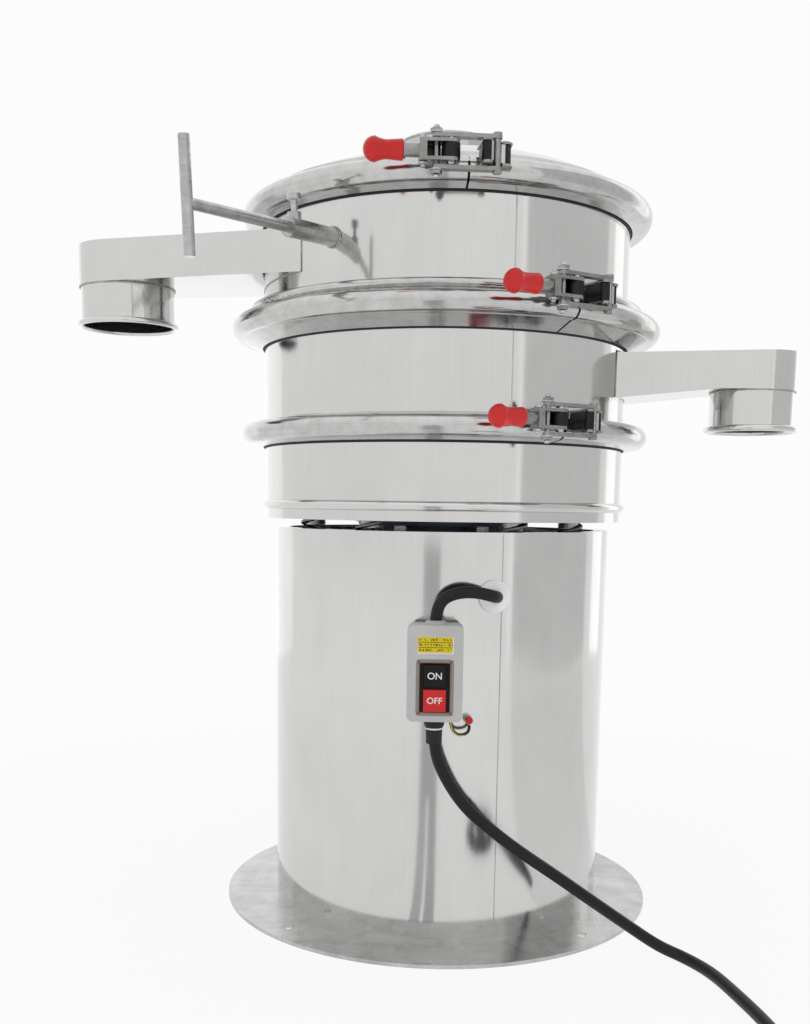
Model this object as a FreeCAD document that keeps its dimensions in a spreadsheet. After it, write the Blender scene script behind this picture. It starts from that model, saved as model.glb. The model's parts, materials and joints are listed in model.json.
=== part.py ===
import FreeCAD, Part
import math
import os
import types
import Sketcher
from FreeCAD import Placement, Rotation, Vector

# Rotary vibrating sieve: a sprung stack of sieve frames on a pedestal drum. Millimetres, +Z up.
# The origin is the centre of the base plate's underside, and the front of the machine faces -Y.

doc = FreeCAD.newDocument("VibratingSieve")
sheet = doc.addObject("Spreadsheet::Sheet", "sizes")

drivingSizes = {
    # pedestal
    "plateDiameter": 490, "plateThickness": 4, "anchorCircle": 440, "anchorHole": 12,
    "drumDiameter": 376, "drumHeight": 422, "drumWall": 3, "drumRimDepth": 12,
    "leadHole": 26, "leadHeight": 363,
    # springs
    "springCircle": 290, "springDiameter": 34, "springWire": 4.5, "springHeight": 78,
    "springTurns": 4, "shelfThickness": 5, "shelfWidth": 52, "seatThickness": 3,
    # sieve frames
    "drumGap": 10, "frameDiameter": 400, "frameWall": 2, "lowerFrameHeight": 91,
    "middleFrameHeight": 114, "topFrameHeight": 116, "beadHeight": 15, "beadDepth": 5,
    "flangeReach": 11, "gasketThickness": 3, "panSheet": 2, "screenRing": 6,
    "lowerFlangeRise": 9, "screenFlangeRise": 15, "lidFlangeRise": 10.5, "lipLength": 4.5,
    # clamp bands
    "bandWall": 2, "lowerBandReach": 26, "screenBandReach": 36, "lidBandReach": 23,
    # motor
    "motorPlate": 6, "motorDiameter": 140, "motorLength": 168, "motorFlange": 190,
    "flangePlate": 10, "shaftDiameter": 25, "weightRadius": 76, "weightThickness": 26,
    # outlets and lid
    "coarsePipe": 96, "finesPipe": 84, "pipeWall": 2, "inletBore": 102, "inletHeight": 26,
    "domeRise": 44,
    # rod with its sleeve
    "rodDiameter": 10, "sleeveDiameter": 18, "sleeveLength": 52, "teeHeight": 95.5,
    # switch box
    "boxWidth": 54, "boxHeight": 96, "boxDepth": 40, "boxCornerRadius": 6, "buttonSize": 22,
    "cableDiameter": 12,
}
for row, (alias, number) in enumerate(drivingSizes.items(), 1):
    sheet.set("A%d" % row, alias)
    sheet.set("B%d" % row, str(number))
    sheet.setAlias("B%d" % row, alias)
doc.recompute()


class Size:
    """A length that keeps the sheet expression it comes from."""

    def __init__(self, text, value):
        self.text = text
        self.value = value

    def __add__(self, other):
        other = asSize(other)
        return Size("(%s + %s)" % (self.text, other.text), self.value + other.value)

    def __sub__(self, other):
        other = asSize(other)
        return Size("(%s - %s)" % (self.text, other.text), self.value - other.value)

    def __mul__(self, factor):
        factor = asSize(factor)
        return Size("(%s * %s)" % (self.text, factor.text), self.value * factor.value)

    def __truediv__(self, divisor):
        divisor = asSize(divisor)
        return Size("(%s / %s)" % (self.text, divisor.text), self.value / divisor.value)

    def __neg__(self):
        return Size("(0 - %s)" % self.text, -self.value)

    __radd__ = __add__
    __rmul__ = __mul__

    def __rsub__(self, other):
        return asSize(other) - self


def asSize(number):
    return number if isinstance(number, Size) else Size(repr(float(number)), float(number))


def plain(number):
    return number.value if isinstance(number, Size) else float(number)


def bind(target, prop, number):
    if isinstance(number, Size):
        target.setExpression(prop, number.text)
    else:
        setattr(target, prop, number)


s = types.SimpleNamespace(
    **{alias: Size("sizes." + alias, float(number)) for alias, number in drivingSizes.items()}
)

# ---- places worked out from the driving sizes

fitGap = 0.3                       # standing clearance between pieces that aren't welded
frameRadius = s.frameDiameter / 2
frameBore = frameRadius - s.frameWall
drumRadius = s.drumDiameter / 2
drumBore = drumRadius - s.drumWall
drumTop = s.plateThickness + s.drumHeight
frameBottom = drumTop + s.drumGap
lowerJoint = frameBottom + s.lowerFrameHeight
screenJoint = lowerJoint + s.middleFrameHeight
lidJoint = screenJoint + s.topFrameHeight
lowerStack = s.gasketThickness + s.panSheet
screenStack = s.gasketThickness + s.screenRing
lidStack = s.gasketThickness
motorPlateBottom = frameBottom + 4
springSeatTop = motorPlateBottom - s.seatThickness
shelfTop = springSeatTop - s.springHeight
motorTop = motorPlateBottom - fitGap
springCount = 6


# ---- sketch and feature helpers

def newBody(name):
    body = doc.addObject("PartDesign::Body", name)
    body.Label = name
    body.AllowCompound = True
    return body


def newSketch(body, plane, offset=0):
    sketch = body.newObject("Sketcher::SketchObject", "Sketch")
    origin = next(f for f in body.Origin.OriginFeatures if f.Role == plane)
    sketch.AttachmentSupport = (origin, [""])
    sketch.MapMode = "FlatFace"
    if isinstance(offset, Size):
        sketch.setExpression("AttachmentOffset.Base.z", offset.text)
    else:
        sketch.AttachmentOffset = Placement(Vector(0, 0, offset), Rotation())
    return sketch


def fixPoint(rules, geometry, position, point):
    for kind, axis, number in (("DistanceX", -2, point[0]), ("DistanceY", -1, point[1])):
        if isinstance(number, Size) or number:
            rule = Sketcher.Constraint(kind, -1, 1, geometry, position, plain(number))
            rules.append((rule, number))
        else:
            rules.append((Sketcher.Constraint("PointOnObject", geometry, position, axis), 0))


def addRules(sketch, rules):
    first = sketch.ConstraintCount
    sketch.addConstraint([rule for rule, number in rules])
    for index, (rule, number) in enumerate(rules, first):
        if isinstance(number, Size):
            sketch.setExpression("Constraints[%d]" % index, number.text)


def outline(sketch, points, arcs=None):
    """Closed outline. arcs maps an edge's number to a point that the edge bends through."""
    arcs = arcs or {}
    corner = [Vector(plain(x), plain(y), 0) for x, y in points]
    rules, ends = [], []
    for i, start in enumerate(corner):
        end = corner[(i + 1) % len(corner)]
        if i in arcs:
            via = Vector(plain(arcs[i][0]), plain(arcs[i][1]), 0)
            edge = sketch.addGeometry(Part.Arc(start, via, end), False)
            forward = sketch.getPoint(edge, 1).distanceToPoint(start) < 1e-6
            mark = sketch.addGeometry(Part.Point(via), True)
            fixPoint(rules, mark, 1, arcs[i])
            rules.append((Sketcher.Constraint("PointOnObject", mark, 1, edge), 0))
        else:
            edge = sketch.addGeometry(Part.LineSegment(start, end), False)
            forward = True
        ends.append((edge, 1 if forward else 2, 2 if forward else 1))
    for i, (edge, startSide, endSide) in enumerate(ends):
        nextEdge, nextStart, nextEnd = ends[(i + 1) % len(ends)]
        rules.append((Sketcher.Constraint("Coincident", edge, endSide, nextEdge, nextStart), 0))
        fixPoint(rules, edge, startSide, points[i])
    addRules(sketch, rules)
    return sketch


def circle(sketch, x, y, radius):
    shape = Part.Circle(Vector(plain(x), plain(y), 0), Vector(0, 0, 1), plain(radius))
    ring = sketch.addGeometry(shape, False)
    rules = [(Sketcher.Constraint("Radius", ring, plain(radius)), radius)]
    fixPoint(rules, ring, 3, (x, y))
    addRules(sketch, rules)
    return sketch


def rectangle(sketch, x0, y0, x1, y1):
    return outline(sketch, [(x0, y0), (x1, y0), (x1, y1), (x0, y1)])


def turn(body, points, arcs=None, angle=360, plane="XZ_Plane"):
    """Turns a profile of (radius, height) points round the vertical axis."""
    sketch = outline(newSketch(body, plane), points, arcs)
    feature = body.newObject("PartDesign::Revolution", "Turn")
    feature.Profile = sketch
    feature.ReferenceAxis = (sketch, ["V_Axis"])
    bind(feature, "Angle", angle)
    feature.Midplane = True
    return feature


def pad(body, sketch, length, both=False, down=False):
    feature = body.newObject("PartDesign::Pad", "Pad")
    feature.Profile = sketch
    bind(feature, "Length", length)
    feature.Midplane = both
    feature.Reversed = down
    return feature


def pocket(body, sketch, length=None, both=False, up=False):
    """Cuts down from the sketch, or up, or both ways, through everything when no length is given."""
    feature = body.newObject("PartDesign::Pocket", "Pocket")
    feature.Profile = sketch
    if length is None:
        feature.Type = "ThroughAll"
    else:
        bind(feature, "Length", length)
    feature.Midplane = both
    feature.Reversed = up
    return feature


def ringOf(body, features, count):
    """Repeats features round the body's vertical axis."""
    pattern = body.newObject("PartDesign::PolarPattern", "Ring")
    pattern.Originals = features
    axis = next(f for f in body.Origin.OriginFeatures if f.Role == "Z_Axis")
    pattern.Axis = (axis, [""])
    pattern.Angle = 360
    pattern.Occurrences = count
    body.Tip = pattern


def atAngle(radius, degrees, height):
    """A placement on a circle round the machine, its own -Y pointing outwards."""
    turned = math.radians(degrees)
    base = Vector(plain(radius) * math.cos(turned), plain(radius) * math.sin(turned), plain(height))
    return Placement(base, Rotation(Vector(0, 0, 1), degrees + 90))


def fromShape(name, shape, placement=None):
    feature = doc.addObject("Part::Feature", name)
    feature.Label = name
    feature.Shape = shape
    if placement:
        feature.Placement = placement
    return feature


# ---- pedestal

def makeBasePlate():
    body = newBody("base_plate")
    pad(body, circle(newSketch(body, "XY_Plane"), 0, 0, s.plateDiameter / 2), s.plateThickness)
    hole = newSketch(body, "XY_Plane", s.plateThickness)
    across = s.anchorCircle / 2 * math.sqrt(0.5)
    circle(hole, across, across, s.anchorHole / 2)
    ringOf(body, [pocket(body, hole)], 4)


leadAngle = -73.5                  # the motor lead comes out a little to the right of the front


def makeBaseDrum():
    body = newBody("base_drum")
    rimInner = drumBore - s.drumRimDepth
    foot = s.plateThickness
    turn(body, [
        (drumBore, foot), (drumRadius, foot), (drumRadius, drumTop), (rimInner, drumTop),
        (rimInner, drumTop - s.drumWall), (drumBore, drumTop - s.drumWall),
    ])
    hole = newSketch(body, "XZ_Plane")
    circle(hole, 0, s.leadHeight, s.leadHole / 2)
    pocket(body, hole, drumRadius * 2, up=True)
    body.Placement = Placement(Vector(), Rotation(Vector(0, 0, 1), leadAngle + 90))


def makeSpringBrackets():
    body = newBody("spring_brackets")
    centre = s.springCircle / 2
    half = s.shelfWidth / 2
    shelf = newSketch(body, "XY_Plane", shelfTop)
    inner = centre - half
    root = drumBore - 2.5
    outline(shelf, [(inner + 12, -half), (root, -half), (root, half), (inner + 12, half)],
            {1: (drumBore - 0.7, 0), 3: (inner, 0)})
    plate = pad(body, shelf, s.shelfThickness, down=True)
    peg = newSketch(body, "XY_Plane", shelfTop)
    circle(peg, centre, 0, s.springDiameter / 2 - s.springWire - 1)
    pin = pad(body, peg, 9)
    web = newSketch(body, "XZ_Plane")
    floor = shelfTop - s.shelfThickness
    outline(web, [(centre - 12, floor), (drumBore - 0.7, floor), (drumBore - 0.7, floor - 48)])
    gusset = pad(body, web, 5, both=True)
    ringOf(body, [plate, pin, gusset], springCount)


def makeSprings():
    wire = plain(s.springWire) / 2
    mean = plain(s.springDiameter) / 2 - wire
    height = plain(s.springHeight)
    low, high = wire, height - wire
    turns = plain(s.springTurns)
    helix = Part.makeHelix((high - low) / turns, high - low, mean)
    section = Part.Wire(Part.makePolygon(
        [Vector(mean + wire * math.cos(a), 0, wire * math.sin(a))
         for a in [math.radians(30 + 60 * k) for k in range(7)]]).Edges)
    coil = Part.Wire(helix).makePipeShell([section], True, True)
    coil.translate(Vector(0, 0, low))
    ground = [Part.makeCylinder(mean + wire, wire, Vector(0, 0, z)).cut(
        Part.makeCylinder(mean - wire, wire, Vector(0, 0, z))) for z in (0, height - wire)]
    spring = coil.multiFuse(ground).removeSplitter()
    springs = []
    for k in range(springCount):
        one = spring.copy()
        one.Placement = atAngle(s.springCircle / 2, 360 / springCount * k, shelfTop)
        springs.append(one)
    fromShape("support_springs", Part.makeCompound(springs))


# ---- sieve frames

def flangeUp(edge, rise):
    """Outer side of a flared collar that ends in a flat lip facing up, from the wall outwards."""
    reach = frameRadius + s.flangeReach
    return [
        (frameRadius, edge - rise), (reach - s.lipLength, edge - s.frameWall),
        (reach, edge - s.frameWall), (reach, edge), (reach - s.lipLength - 1, edge),
        (frameBore, edge - rise + s.frameWall * 0.8),
    ]


def flangeDown(edge, rise):
    """The same collar with its lip facing down, from the bore outwards."""
    reach = frameRadius + s.flangeReach
    return [
        (frameBore, edge + rise - s.frameWall * 0.8), (reach - s.lipLength - 1, edge),
        (reach, edge), (reach, edge + s.frameWall), (reach - s.lipLength, edge + s.frameWall),
        (frameRadius, edge + rise),
    ]


upperExtra = 2.6                   # the upper collar stands taller by the rubber's wrap


def makeLowerFrame():
    body = newBody("lower_frame")
    bead = frameBottom + s.beadHeight
    half = s.beadDepth
    points = [(frameBore, frameBottom), (frameRadius, frameBottom), (frameRadius, bead - half),
              (frameRadius, bead + half)]
    points += flangeUp(lowerJoint - lowerStack / 2, s.lowerFlangeRise)
    turn(body, points, {2: (frameRadius + s.beadDepth, bead)})


outlets = {
    "oversize": {"pipe": (-348, -34), "front": 224, "rear": 180.6, "bore": s.coarsePipe,
                 "top": 723, "rootTop": 723, "rootBottom": 681, "endBottom": 681, "mouth": 642, "lip": 5},
    "fines": {"pipe": (334, -42), "front": 333.5, "rear": 6.5, "bore": s.finesPipe,
              "top": 619, "rootTop": 610, "rootBottom": 558, "endBottom": 577, "mouth": 537, "lip": 6},
}


endStep = 1.5                      # the chute's rolled end stands proud of the pipe welded under it


def planOf(spec, wall):
    """Plan of a chute: its front side flares back to the sieve wall, its end is round the pipe."""
    centre = Vector(spec["pipe"][0], spec["pipe"][1], 0)
    pipe = plain(spec["bore"]) / 2 + plain(s.pipeWall) + endStep
    radius = pipe - wall
    roots = []
    for side, tangentSide in (("front", -1), ("rear", 1)):
        degrees = math.radians(spec[side])
        start = Vector(plain(frameRadius) * math.cos(degrees), plain(frameRadius) * math.sin(degrees), 0)
        away = start - centre
        swing = math.acos(pipe / away.Length)
        turned = math.atan2(away.y, away.x)
        touch = [turned + swing, turned - swing]
        touch.sort(key=lambda a: tangentSide * (centre.y + math.sin(a)), reverse=True)
        normal = Vector(math.cos(touch[0]), math.sin(touch[0]), 0)
        run = (start - centre - normal * pipe).normalize()
        roots.append((start - normal * wall + run * 14, centre + normal * radius))
    (frontRoot, frontTouch), (rearRoot, rearTouch) = roots
    end = centre + (centre * (1 / centre.Length)) * radius
    points = [frontRoot, frontTouch, rearTouch, rearRoot]
    return [(p.x, p.y) for p in points], {1: (end.x, end.y)}


def extrude(name, sketch, length):
    solid = doc.addObject("Part::Extrusion", name)
    solid.Base = sketch
    solid.DirMode = "Normal"
    bind(solid, "LengthFwd", length)
    solid.Solid = True
    return solid


def chuteSolid(name, spec, wall):
    """The outer form of a chute, or its inside when a wall is given."""
    lowest = spec["rootBottom"] + wall
    plan = doc.addObject("Sketcher::SketchObject", name + "_plan")
    plan.Placement = Placement(Vector(0, 0, lowest), Rotation())
    outline(plan, *planOf(spec, wall))
    body = extrude(name + "_block", plan, spec["top"] + 5 - lowest)
    side = doc.addObject("Sketcher::SketchObject", name + "_side")
    side.Placement = Placement(Vector(0, 400, 0), Rotation(Vector(1, 0, 0), 90))
    sign = math.copysign(1, spec["pipe"][0])
    near = sign * plain(frameRadius) / 2
    knee = spec["pipe"][0] - sign * plain(spec["bore"]) / 2
    far = spec["pipe"][0] + sign * plain(spec["bore"])
    endBottom = spec["endBottom"] + wall
    corners = [(near, lowest), (far, endBottom), (far, spec["top"] - wall), (near, spec["rootTop"] - wall)]
    if spec["rootBottom"] != spec["endBottom"]:
        corners.insert(1, (knee, endBottom))
    outline(side, corners)
    slab = extrude(name + "_slab", side, 800)
    form = doc.addObject("Part::Common", name + "_form")
    form.Base, form.Tool = body, slab
    return form


def cylinder(name, radius, height, base):
    solid = doc.addObject("Part::Cylinder", name)
    bind(solid, "Radius", radius)
    bind(solid, "Height", height)
    solid.Placement = Placement(base, Rotation())
    return solid


def makeOutlet(name, spec):
    wall = plain(s.pipeWall)
    x, y = spec["pipe"]
    mouth = spec["mouth"]
    radius = spec["bore"] / 2
    outer = chuteSolid(name + "_outer", spec, 0)
    inner = chuteSolid(name + "_inner", spec, wall)
    pipe = cylinder(name + "_pipe", radius + wall, spec["endBottom"] + 1 - mouth, Vector(x, y, mouth))
    bead = doc.addObject("Part::Torus", name + "_bead")
    bead.setExpression("Radius1", (radius + wall + spec["lip"] / 2 - 1).text)
    bead.Radius2 = spec["lip"] / 2 + 0.4
    bead.Placement = Placement(Vector(x, y, mouth), Rotation())
    bore = cylinder(name + "_bore", radius, spec["endBottom"] + wall + 6 - mouth, Vector(x, y, mouth - 4))
    wallTool = cylinder(name + "_wall", frameRadius, 200, Vector(0, 0, spec["rootBottom"] - 60))
    solid = doc.addObject("Part::MultiFuse", name + "_solid")
    solid.Shapes = [outer, pipe, bead]
    hollow = doc.addObject("Part::MultiFuse", name + "_hollow")
    hollow.Shapes = [inner, bore, wallTool]
    chute = doc.addObject("Part::Cut", name + "_spout")
    chute.Base, chute.Tool = solid, hollow
    chute.Label = name + "_spout"
    return inner


def makeFrame(name, bottom, bottomRise, top, topRise, tools):
    body = newBody(name + "_wall")
    low = flangeDown(bottom, bottomRise)
    high = flangeUp(top, topRise)
    turn(body, low + high)
    frame = doc.addObject("Part::Cut", name)
    frame.Base = body
    if len(tools) > 1:
        openings = doc.addObject("Part::MultiFuse", name + "_openings")
        openings.Shapes = tools
        frame.Tool = openings
    else:
        frame.Tool = tools[0]
    frame.Label = name


def makeGasket(name, joint, stack, rise):
    """Rubber ring between two collars, wrapped round the lower one, its hem showing below the band."""
    body = newBody(name)
    edge = joint - stack / 2
    reach = frameRadius + s.flangeReach
    wrap = 1.4
    turn(body, [
        (reach - s.lipLength, edge), (reach, edge), (reach, edge - s.frameWall),
        (reach - s.lipLength, edge - s.frameWall), (frameRadius, edge - rise),
        (frameRadius, edge - rise - 3.5), (frameRadius + wrap, edge - rise - 3.5),
        (frameRadius + wrap, edge - rise - 0.6),
        (reach - s.lipLength + 0.6, edge - s.frameWall - wrap), (reach + wrap, edge - s.frameWall - wrap),
        (reach + wrap, edge + s.gasketThickness), (reach - s.lipLength, edge + s.gasketThickness),
    ])


panLevel = 563                     # the tray's edge, level with the fines chute's floor


def makeDischargePan():
    """A domed tray on a skirt whose flange is clamped in the lower joint."""
    body = newBody("discharge_pan")
    seat = lowerJoint - lowerStack / 2 + s.gasketThickness
    reach = frameRadius + s.flangeReach
    skirt = frameBore - 1
    apex = panLevel + 29
    turn(body, [
        (0, apex), (skirt - s.panSheet, panLevel), (skirt - s.panSheet, seat), (reach, seat),
        (reach, seat + s.panSheet), (skirt, seat + s.panSheet), (skirt, panLevel + s.panSheet),
        (0, apex + s.panSheet),
    ])


def makeScreenFrame():
    body = newBody("screen_frame")
    seat = screenJoint - screenStack / 2 + s.gasketThickness
    reach = frameRadius + s.flangeReach
    inner = frameBore - 12
    turn(body, [
        (inner, seat - 9), (inner + 8, seat - 9), (inner + 8, seat), (reach, seat),
        (reach, seat + s.screenRing), (frameBore, seat + s.screenRing),
        (frameBore, seat + s.screenRing - 2), (inner, seat + s.screenRing - 2),
    ])
    bar = newSketch(body, "XY_Plane", seat - 9)
    rectangle(bar, -4, -(inner + 3), 4, inner + 3)
    pad(body, bar, 9)
    cross = newSketch(body, "XY_Plane", seat - 9)
    rectangle(cross, -(inner + 3), -4, inner + 3, 4)
    pad(body, cross, 9)


def makeScreenMesh():
    body = newBody("screen_mesh")
    seat = screenJoint - screenStack / 2 + s.gasketThickness + s.screenRing - 2
    disc = newSketch(body, "XY_Plane", seat)
    circle(disc, 0, 0, frameBore - 0.5)
    pad(body, disc, 1)


inletFoot = 8                      # the collar's flared foot, past its bore


def lidHeights():
    edge = lidJoint + lidStack / 2
    shoulder = edge + s.lidFlangeRise + upperExtra
    crown = shoulder + s.domeRise
    return edge, shoulder, crown


def makeLid():
    body = newBody("lid")
    edge, shoulder, crown = lidHeights()
    collar = flangeDown(edge, s.lidFlangeRise + upperExtra)
    throat = s.inletBore / 2 + inletFoot
    profile = collar + [
        (frameRadius - 3, shoulder + 6), (throat, crown), (throat, crown - 2),
        (frameRadius - 5, shoulder + 3.6),
    ]
    arcs = {6: ((frameRadius + throat) / 2 + 6, crown - s.domeRise * 0.3),
            8: ((frameRadius + throat) / 2 + 6, crown - s.domeRise * 0.3 - 2)}
    turn(body, profile, arcs)


def makeInletCollar():
    body = newBody("inlet_collar")
    edge, shoulder, crown = lidHeights()
    bore = s.inletBore / 2
    rim = crown + s.inletHeight
    foot = bore + inletFoot
    turn(body, [
        (bore, crown + 10), (foot, crown - 2), (foot, crown), (foot + 5, crown),
        (foot + 5, crown + 2), (bore + 2, crown + 12), (bore + 2, rim - 3), (bore + 3.2, rim - 2),
        (bore + 3.2, rim - 0.6), (bore + 2.6, rim), (bore, rim),
    ], {4: (bore + 5.2, crown + 5), 0: (bore + 3, crown + 3)})


# ---- motor hung under the sieve

def makeMotorPlate():
    body = newBody("motor_plate")
    turn(body, [
        (58, motorPlateBottom), (frameBore, motorPlateBottom),
        (frameBore, motorPlateBottom + s.motorPlate), (58, motorPlateBottom + s.motorPlate),
    ])
    web = newSketch(body, "XZ_Plane")
    top = motorPlateBottom + s.motorPlate
    outline(web, [(frameBore, top), (frameBore, top + 34), (frameBore - 58, top)])
    ringOf(body, [pad(body, web, 5, both=True)], springCount)


def makeSpringCaps():
    body = newBody("spring_caps")
    centre = s.springCircle / 2
    disc = newSketch(body, "XY_Plane", springSeatTop)
    circle(disc, centre, 0, s.springDiameter / 2 + 2)
    plate = pad(body, disc, s.seatThickness)
    peg = newSketch(body, "XY_Plane", springSeatTop)
    circle(peg, centre, 0, s.springDiameter / 2 - s.springWire - 1)
    pin = pad(body, peg, 9, down=True)
    ringOf(body, [plate, pin], springCount)


motorBoltCount = 6
finReach = 5                       # the cooling fins, beyond the motor's own diameter


def makeMotorHousing():
    body = newBody("motor_housing")
    radius = s.motorDiameter / 2
    flange = s.motorFlange / 2
    low = motorTop - s.flangePlate - s.motorLength
    foot = motorTop - s.flangePlate
    shaft = s.shaftDiameter / 2 + 0.3
    turn(body, [
        (shaft, low - 8), (34, low - 8), (radius - 8, low), (radius - 2, low + 8), (radius - 2, foot),
        (flange, foot), (flange, motorTop), (shaft, motorTop),
    ])
    fin = newSketch(body, "XY_Plane", low + 14)
    rectangle(fin, radius - 4, -1.6, radius + finReach, 1.6)
    ringOf(body, [pad(body, fin, foot - low - 26)], 24)
    hole = newSketch(body, "XY_Plane", motorTop)
    circle(hole, flange - 10, 0, 5)
    ringOf(body, [pocket(body, hole, s.flangePlate)], motorBoltCount)


def makeMotorBolts():
    body = newBody("motor_bolts")
    spot = s.motorFlange / 2 - 10
    under = motorTop - s.flangePlate
    shank = newSketch(body, "XY_Plane", under)
    circle(shank, spot, 0, 4.9)
    stem = pad(body, shank, s.flangePlate)
    head = newSketch(body, "XY_Plane", under)
    hexagon(head, spot, 8.5)
    cap = pad(body, head, 6.5, down=True)
    ringOf(body, [stem, cap], motorBoltCount)


def hexagon(sketch, x, radius):
    corners = [(x + radius * math.cos(math.radians(60 * k)), radius * math.sin(math.radians(60 * k)))
               for k in range(6)]
    return outline(sketch, corners)


terminalReach = 104                # the terminal box's far face, from the machine's axis


def makeTerminalBox():
    body = newBody("motor_terminal_box")
    radius = s.motorDiameter / 2
    block = newSketch(body, "XY_Plane", s.leadHeight - 24)
    rectangle(block, -24, -terminalReach, 24, -(radius + 1))
    pad(body, block, 48)
    saddle = newSketch(body, "XY_Plane", s.leadHeight + 24)
    circle(saddle, 0, 0, radius + finReach + 0.15)
    pocket(body, saddle, 48)
    mouth = newSketch(body, "XZ_Plane", terminalReach)
    circle(mouth, 0, s.leadHeight, s.cableDiameter / 2 + 7)
    pocket(body, mouth, 16)
    body.Placement = Placement(Vector(), Rotation(Vector(0, 0, 1), leadAngle + 90))


def shaftEnds():
    foot = motorTop - s.flangePlate - s.motorLength - 8
    return foot - 52, motorPlateBottom + s.motorPlate + 46


def makeShaft():
    body = newBody("motor_shaft")
    low, high = shaftEnds()
    radius = s.shaftDiameter / 2
    turn(body, [(0, low), (radius - 2, low), (radius, low + 2), (radius, high - 2),
                (radius - 2, high), (0, high)])


def makeWeight(name, bottom, thickness, spread, radius, play=0):
    """A sector weight with a hub that clamps the shaft."""
    body = newBody(name)
    half = math.radians(spread / 2)
    hub = s.shaftDiameter / 2 + 12
    plan = newSketch(body, "XY_Plane", bottom)
    outline(plan, [(radius * math.cos(half), -radius * math.sin(half)),
                   (radius * math.cos(half), radius * math.sin(half)), (0, hub), (0, -hub)],
            {0: (radius, 0), 2: (-hub, 0)})
    pad(body, plan, thickness)
    hole = newSketch(body, "XY_Plane", bottom + thickness)
    circle(hole, 0, 0, s.shaftDiameter / 2 + play)
    pocket(body, hole, thickness)


def makeWeights():
    low, high = shaftEnds()
    makeWeight("upper_weight", high - s.weightThickness - 6, s.weightThickness, 150, s.weightRadius)
    makeWeight("lower_weight", low + 20, s.weightThickness, 150, s.weightRadius)
    makeWeight("phase_weight", low + 4, 15.4, 90, s.weightRadius - 6, play=0.05)


# ---- clamp bands with their toggle clamps, drawn flat in a frame of their own:
# X runs along the band, -Y points outwards and the band's outer edge lies at the origin

clamps = {
    "lower": {"joint": lowerJoint, "stack": lowerStack, "rise": s.lowerFlangeRise,
              "reach": s.lowerBandReach, "angle": -58.7, "lift": 6.5},
    "screen": {"joint": screenJoint, "stack": screenStack, "rise": s.screenFlangeRise,
               "reach": s.screenBandReach, "angle": -57.5, "lift": 9.5},
    "lid": {"joint": lidJoint, "stack": lidStack, "rise": s.lidFlangeRise,
            "reach": s.lidBandReach, "angle": -85, "lift": 8},
}
pivot = Vector(-18, -14, 0)        # lever pin in the band's bracket
drawPin = Vector(-31.2, -12.6, 0)  # links' pin in the lever, just past centre
hookPin = Vector(23.7, -12, 0)     # cross pin of the links in the hook
pinRadius = 3.0
hookPinRadius = 3.5
pinPlay = 0.06
yokeHalf = 9.4
yokeSlot = 6.4
gapAngle = 0.6


def clampPlace(clamp):
    return atAngle(frameRadius + clamp["reach"], clamp["angle"], clamp["joint"] + clamp["lift"])


def placed(body, clamp, local=None):
    body.Placement = clampPlace(clamp) * (local or Placement())
    return body


def makeBandRing(name, clamp):
    body = newBody(name + "_band_ring")
    zc = clamp["joint"]
    half = clamp["stack"] / 2 + clamp["rise"] + 2
    lip = frameRadius + 2.5
    far = frameRadius + clamp["reach"]
    wall = s.bandWall
    if name == "screen":
        shoulder = far - 13
        outer = [(lip, zc - half), (shoulder, zc - 13), (shoulder, zc + 9),
                 (lip + 12, zc + 13), (lip + 9, zc + half), (lip, zc + half)]
        inner = [(lip, zc + half - wall), (lip + 8, zc + half - wall), (lip + 10, zc + 12),
                 (shoulder - 1, zc + 7), (shoulder - 1, zc - 11), (lip, zc - half + wall)]
        arcs = {1: (far, zc - 2), 3: (lip + 14, zc + 16.5), 9: (far - wall, zc - 2)}
        arcs[7] = (lip + 12, zc + half - wall - 2.6)
    else:
        nose = half - 2
        shoulder = far - nose
        outer = [(lip, zc - half), (shoulder, zc - nose), (shoulder, zc + nose), (lip, zc + half)]
        inner = [(lip, zc + half - wall), (shoulder, zc + nose - wall),
                 (shoulder, zc - nose + wall), (lip, zc - half + wall)]
        arcs = {1: (far, zc), 5: (far - wall, zc)}
    turn(body, outer + inner, arcs, angle=360 - gapAngle)
    body.Placement = Placement(Vector(), Rotation(Vector(0, 0, 1), clamp["angle"] - 180))
    return body


def makeBracket(name, clamp):
    body = newBody(name + "_lever_bracket")
    plan = newSketch(body, "XY_Plane")
    outline(plan, [(-26, 9), (-10, 9), (-10, pivot.y), (-26, pivot.y)], {2: (pivot.x, pivot.y - 8)})
    pad(body, plan, 12, both=True)
    hole = newSketch(body, "XY_Plane", 6)
    circle(hole, pivot.x, pivot.y, pinRadius)
    pocket(body, hole, 12)
    return placed(body, clamp)


def makeHook(name, clamp):
    body = newBody(name + "_hook")
    notch = hookPinRadius + 0.2
    plan = newSketch(body, "XY_Plane")
    outline(plan, [(9.5, 9), (36, 9), (36, -8), (33, -11), (hookPin.x + notch, hookPin.y),
                   (hookPin.x - notch, hookPin.y), (hookPin.x - notch, -18), (9.5, -16)],
            {4: (hookPin.x, hookPin.y + notch), 6: (14.5, -22)})
    pad(body, plan, 16, both=True)
    return placed(body, clamp)


def makeBand(name, clamp):
    band = doc.addObject("Part::MultiFuse", name + "_band")
    band.Shapes = [makeBandRing(name, clamp), makeBracket(name, clamp), makeHook(name, clamp)]
    band.Label = name + "_band"


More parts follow.
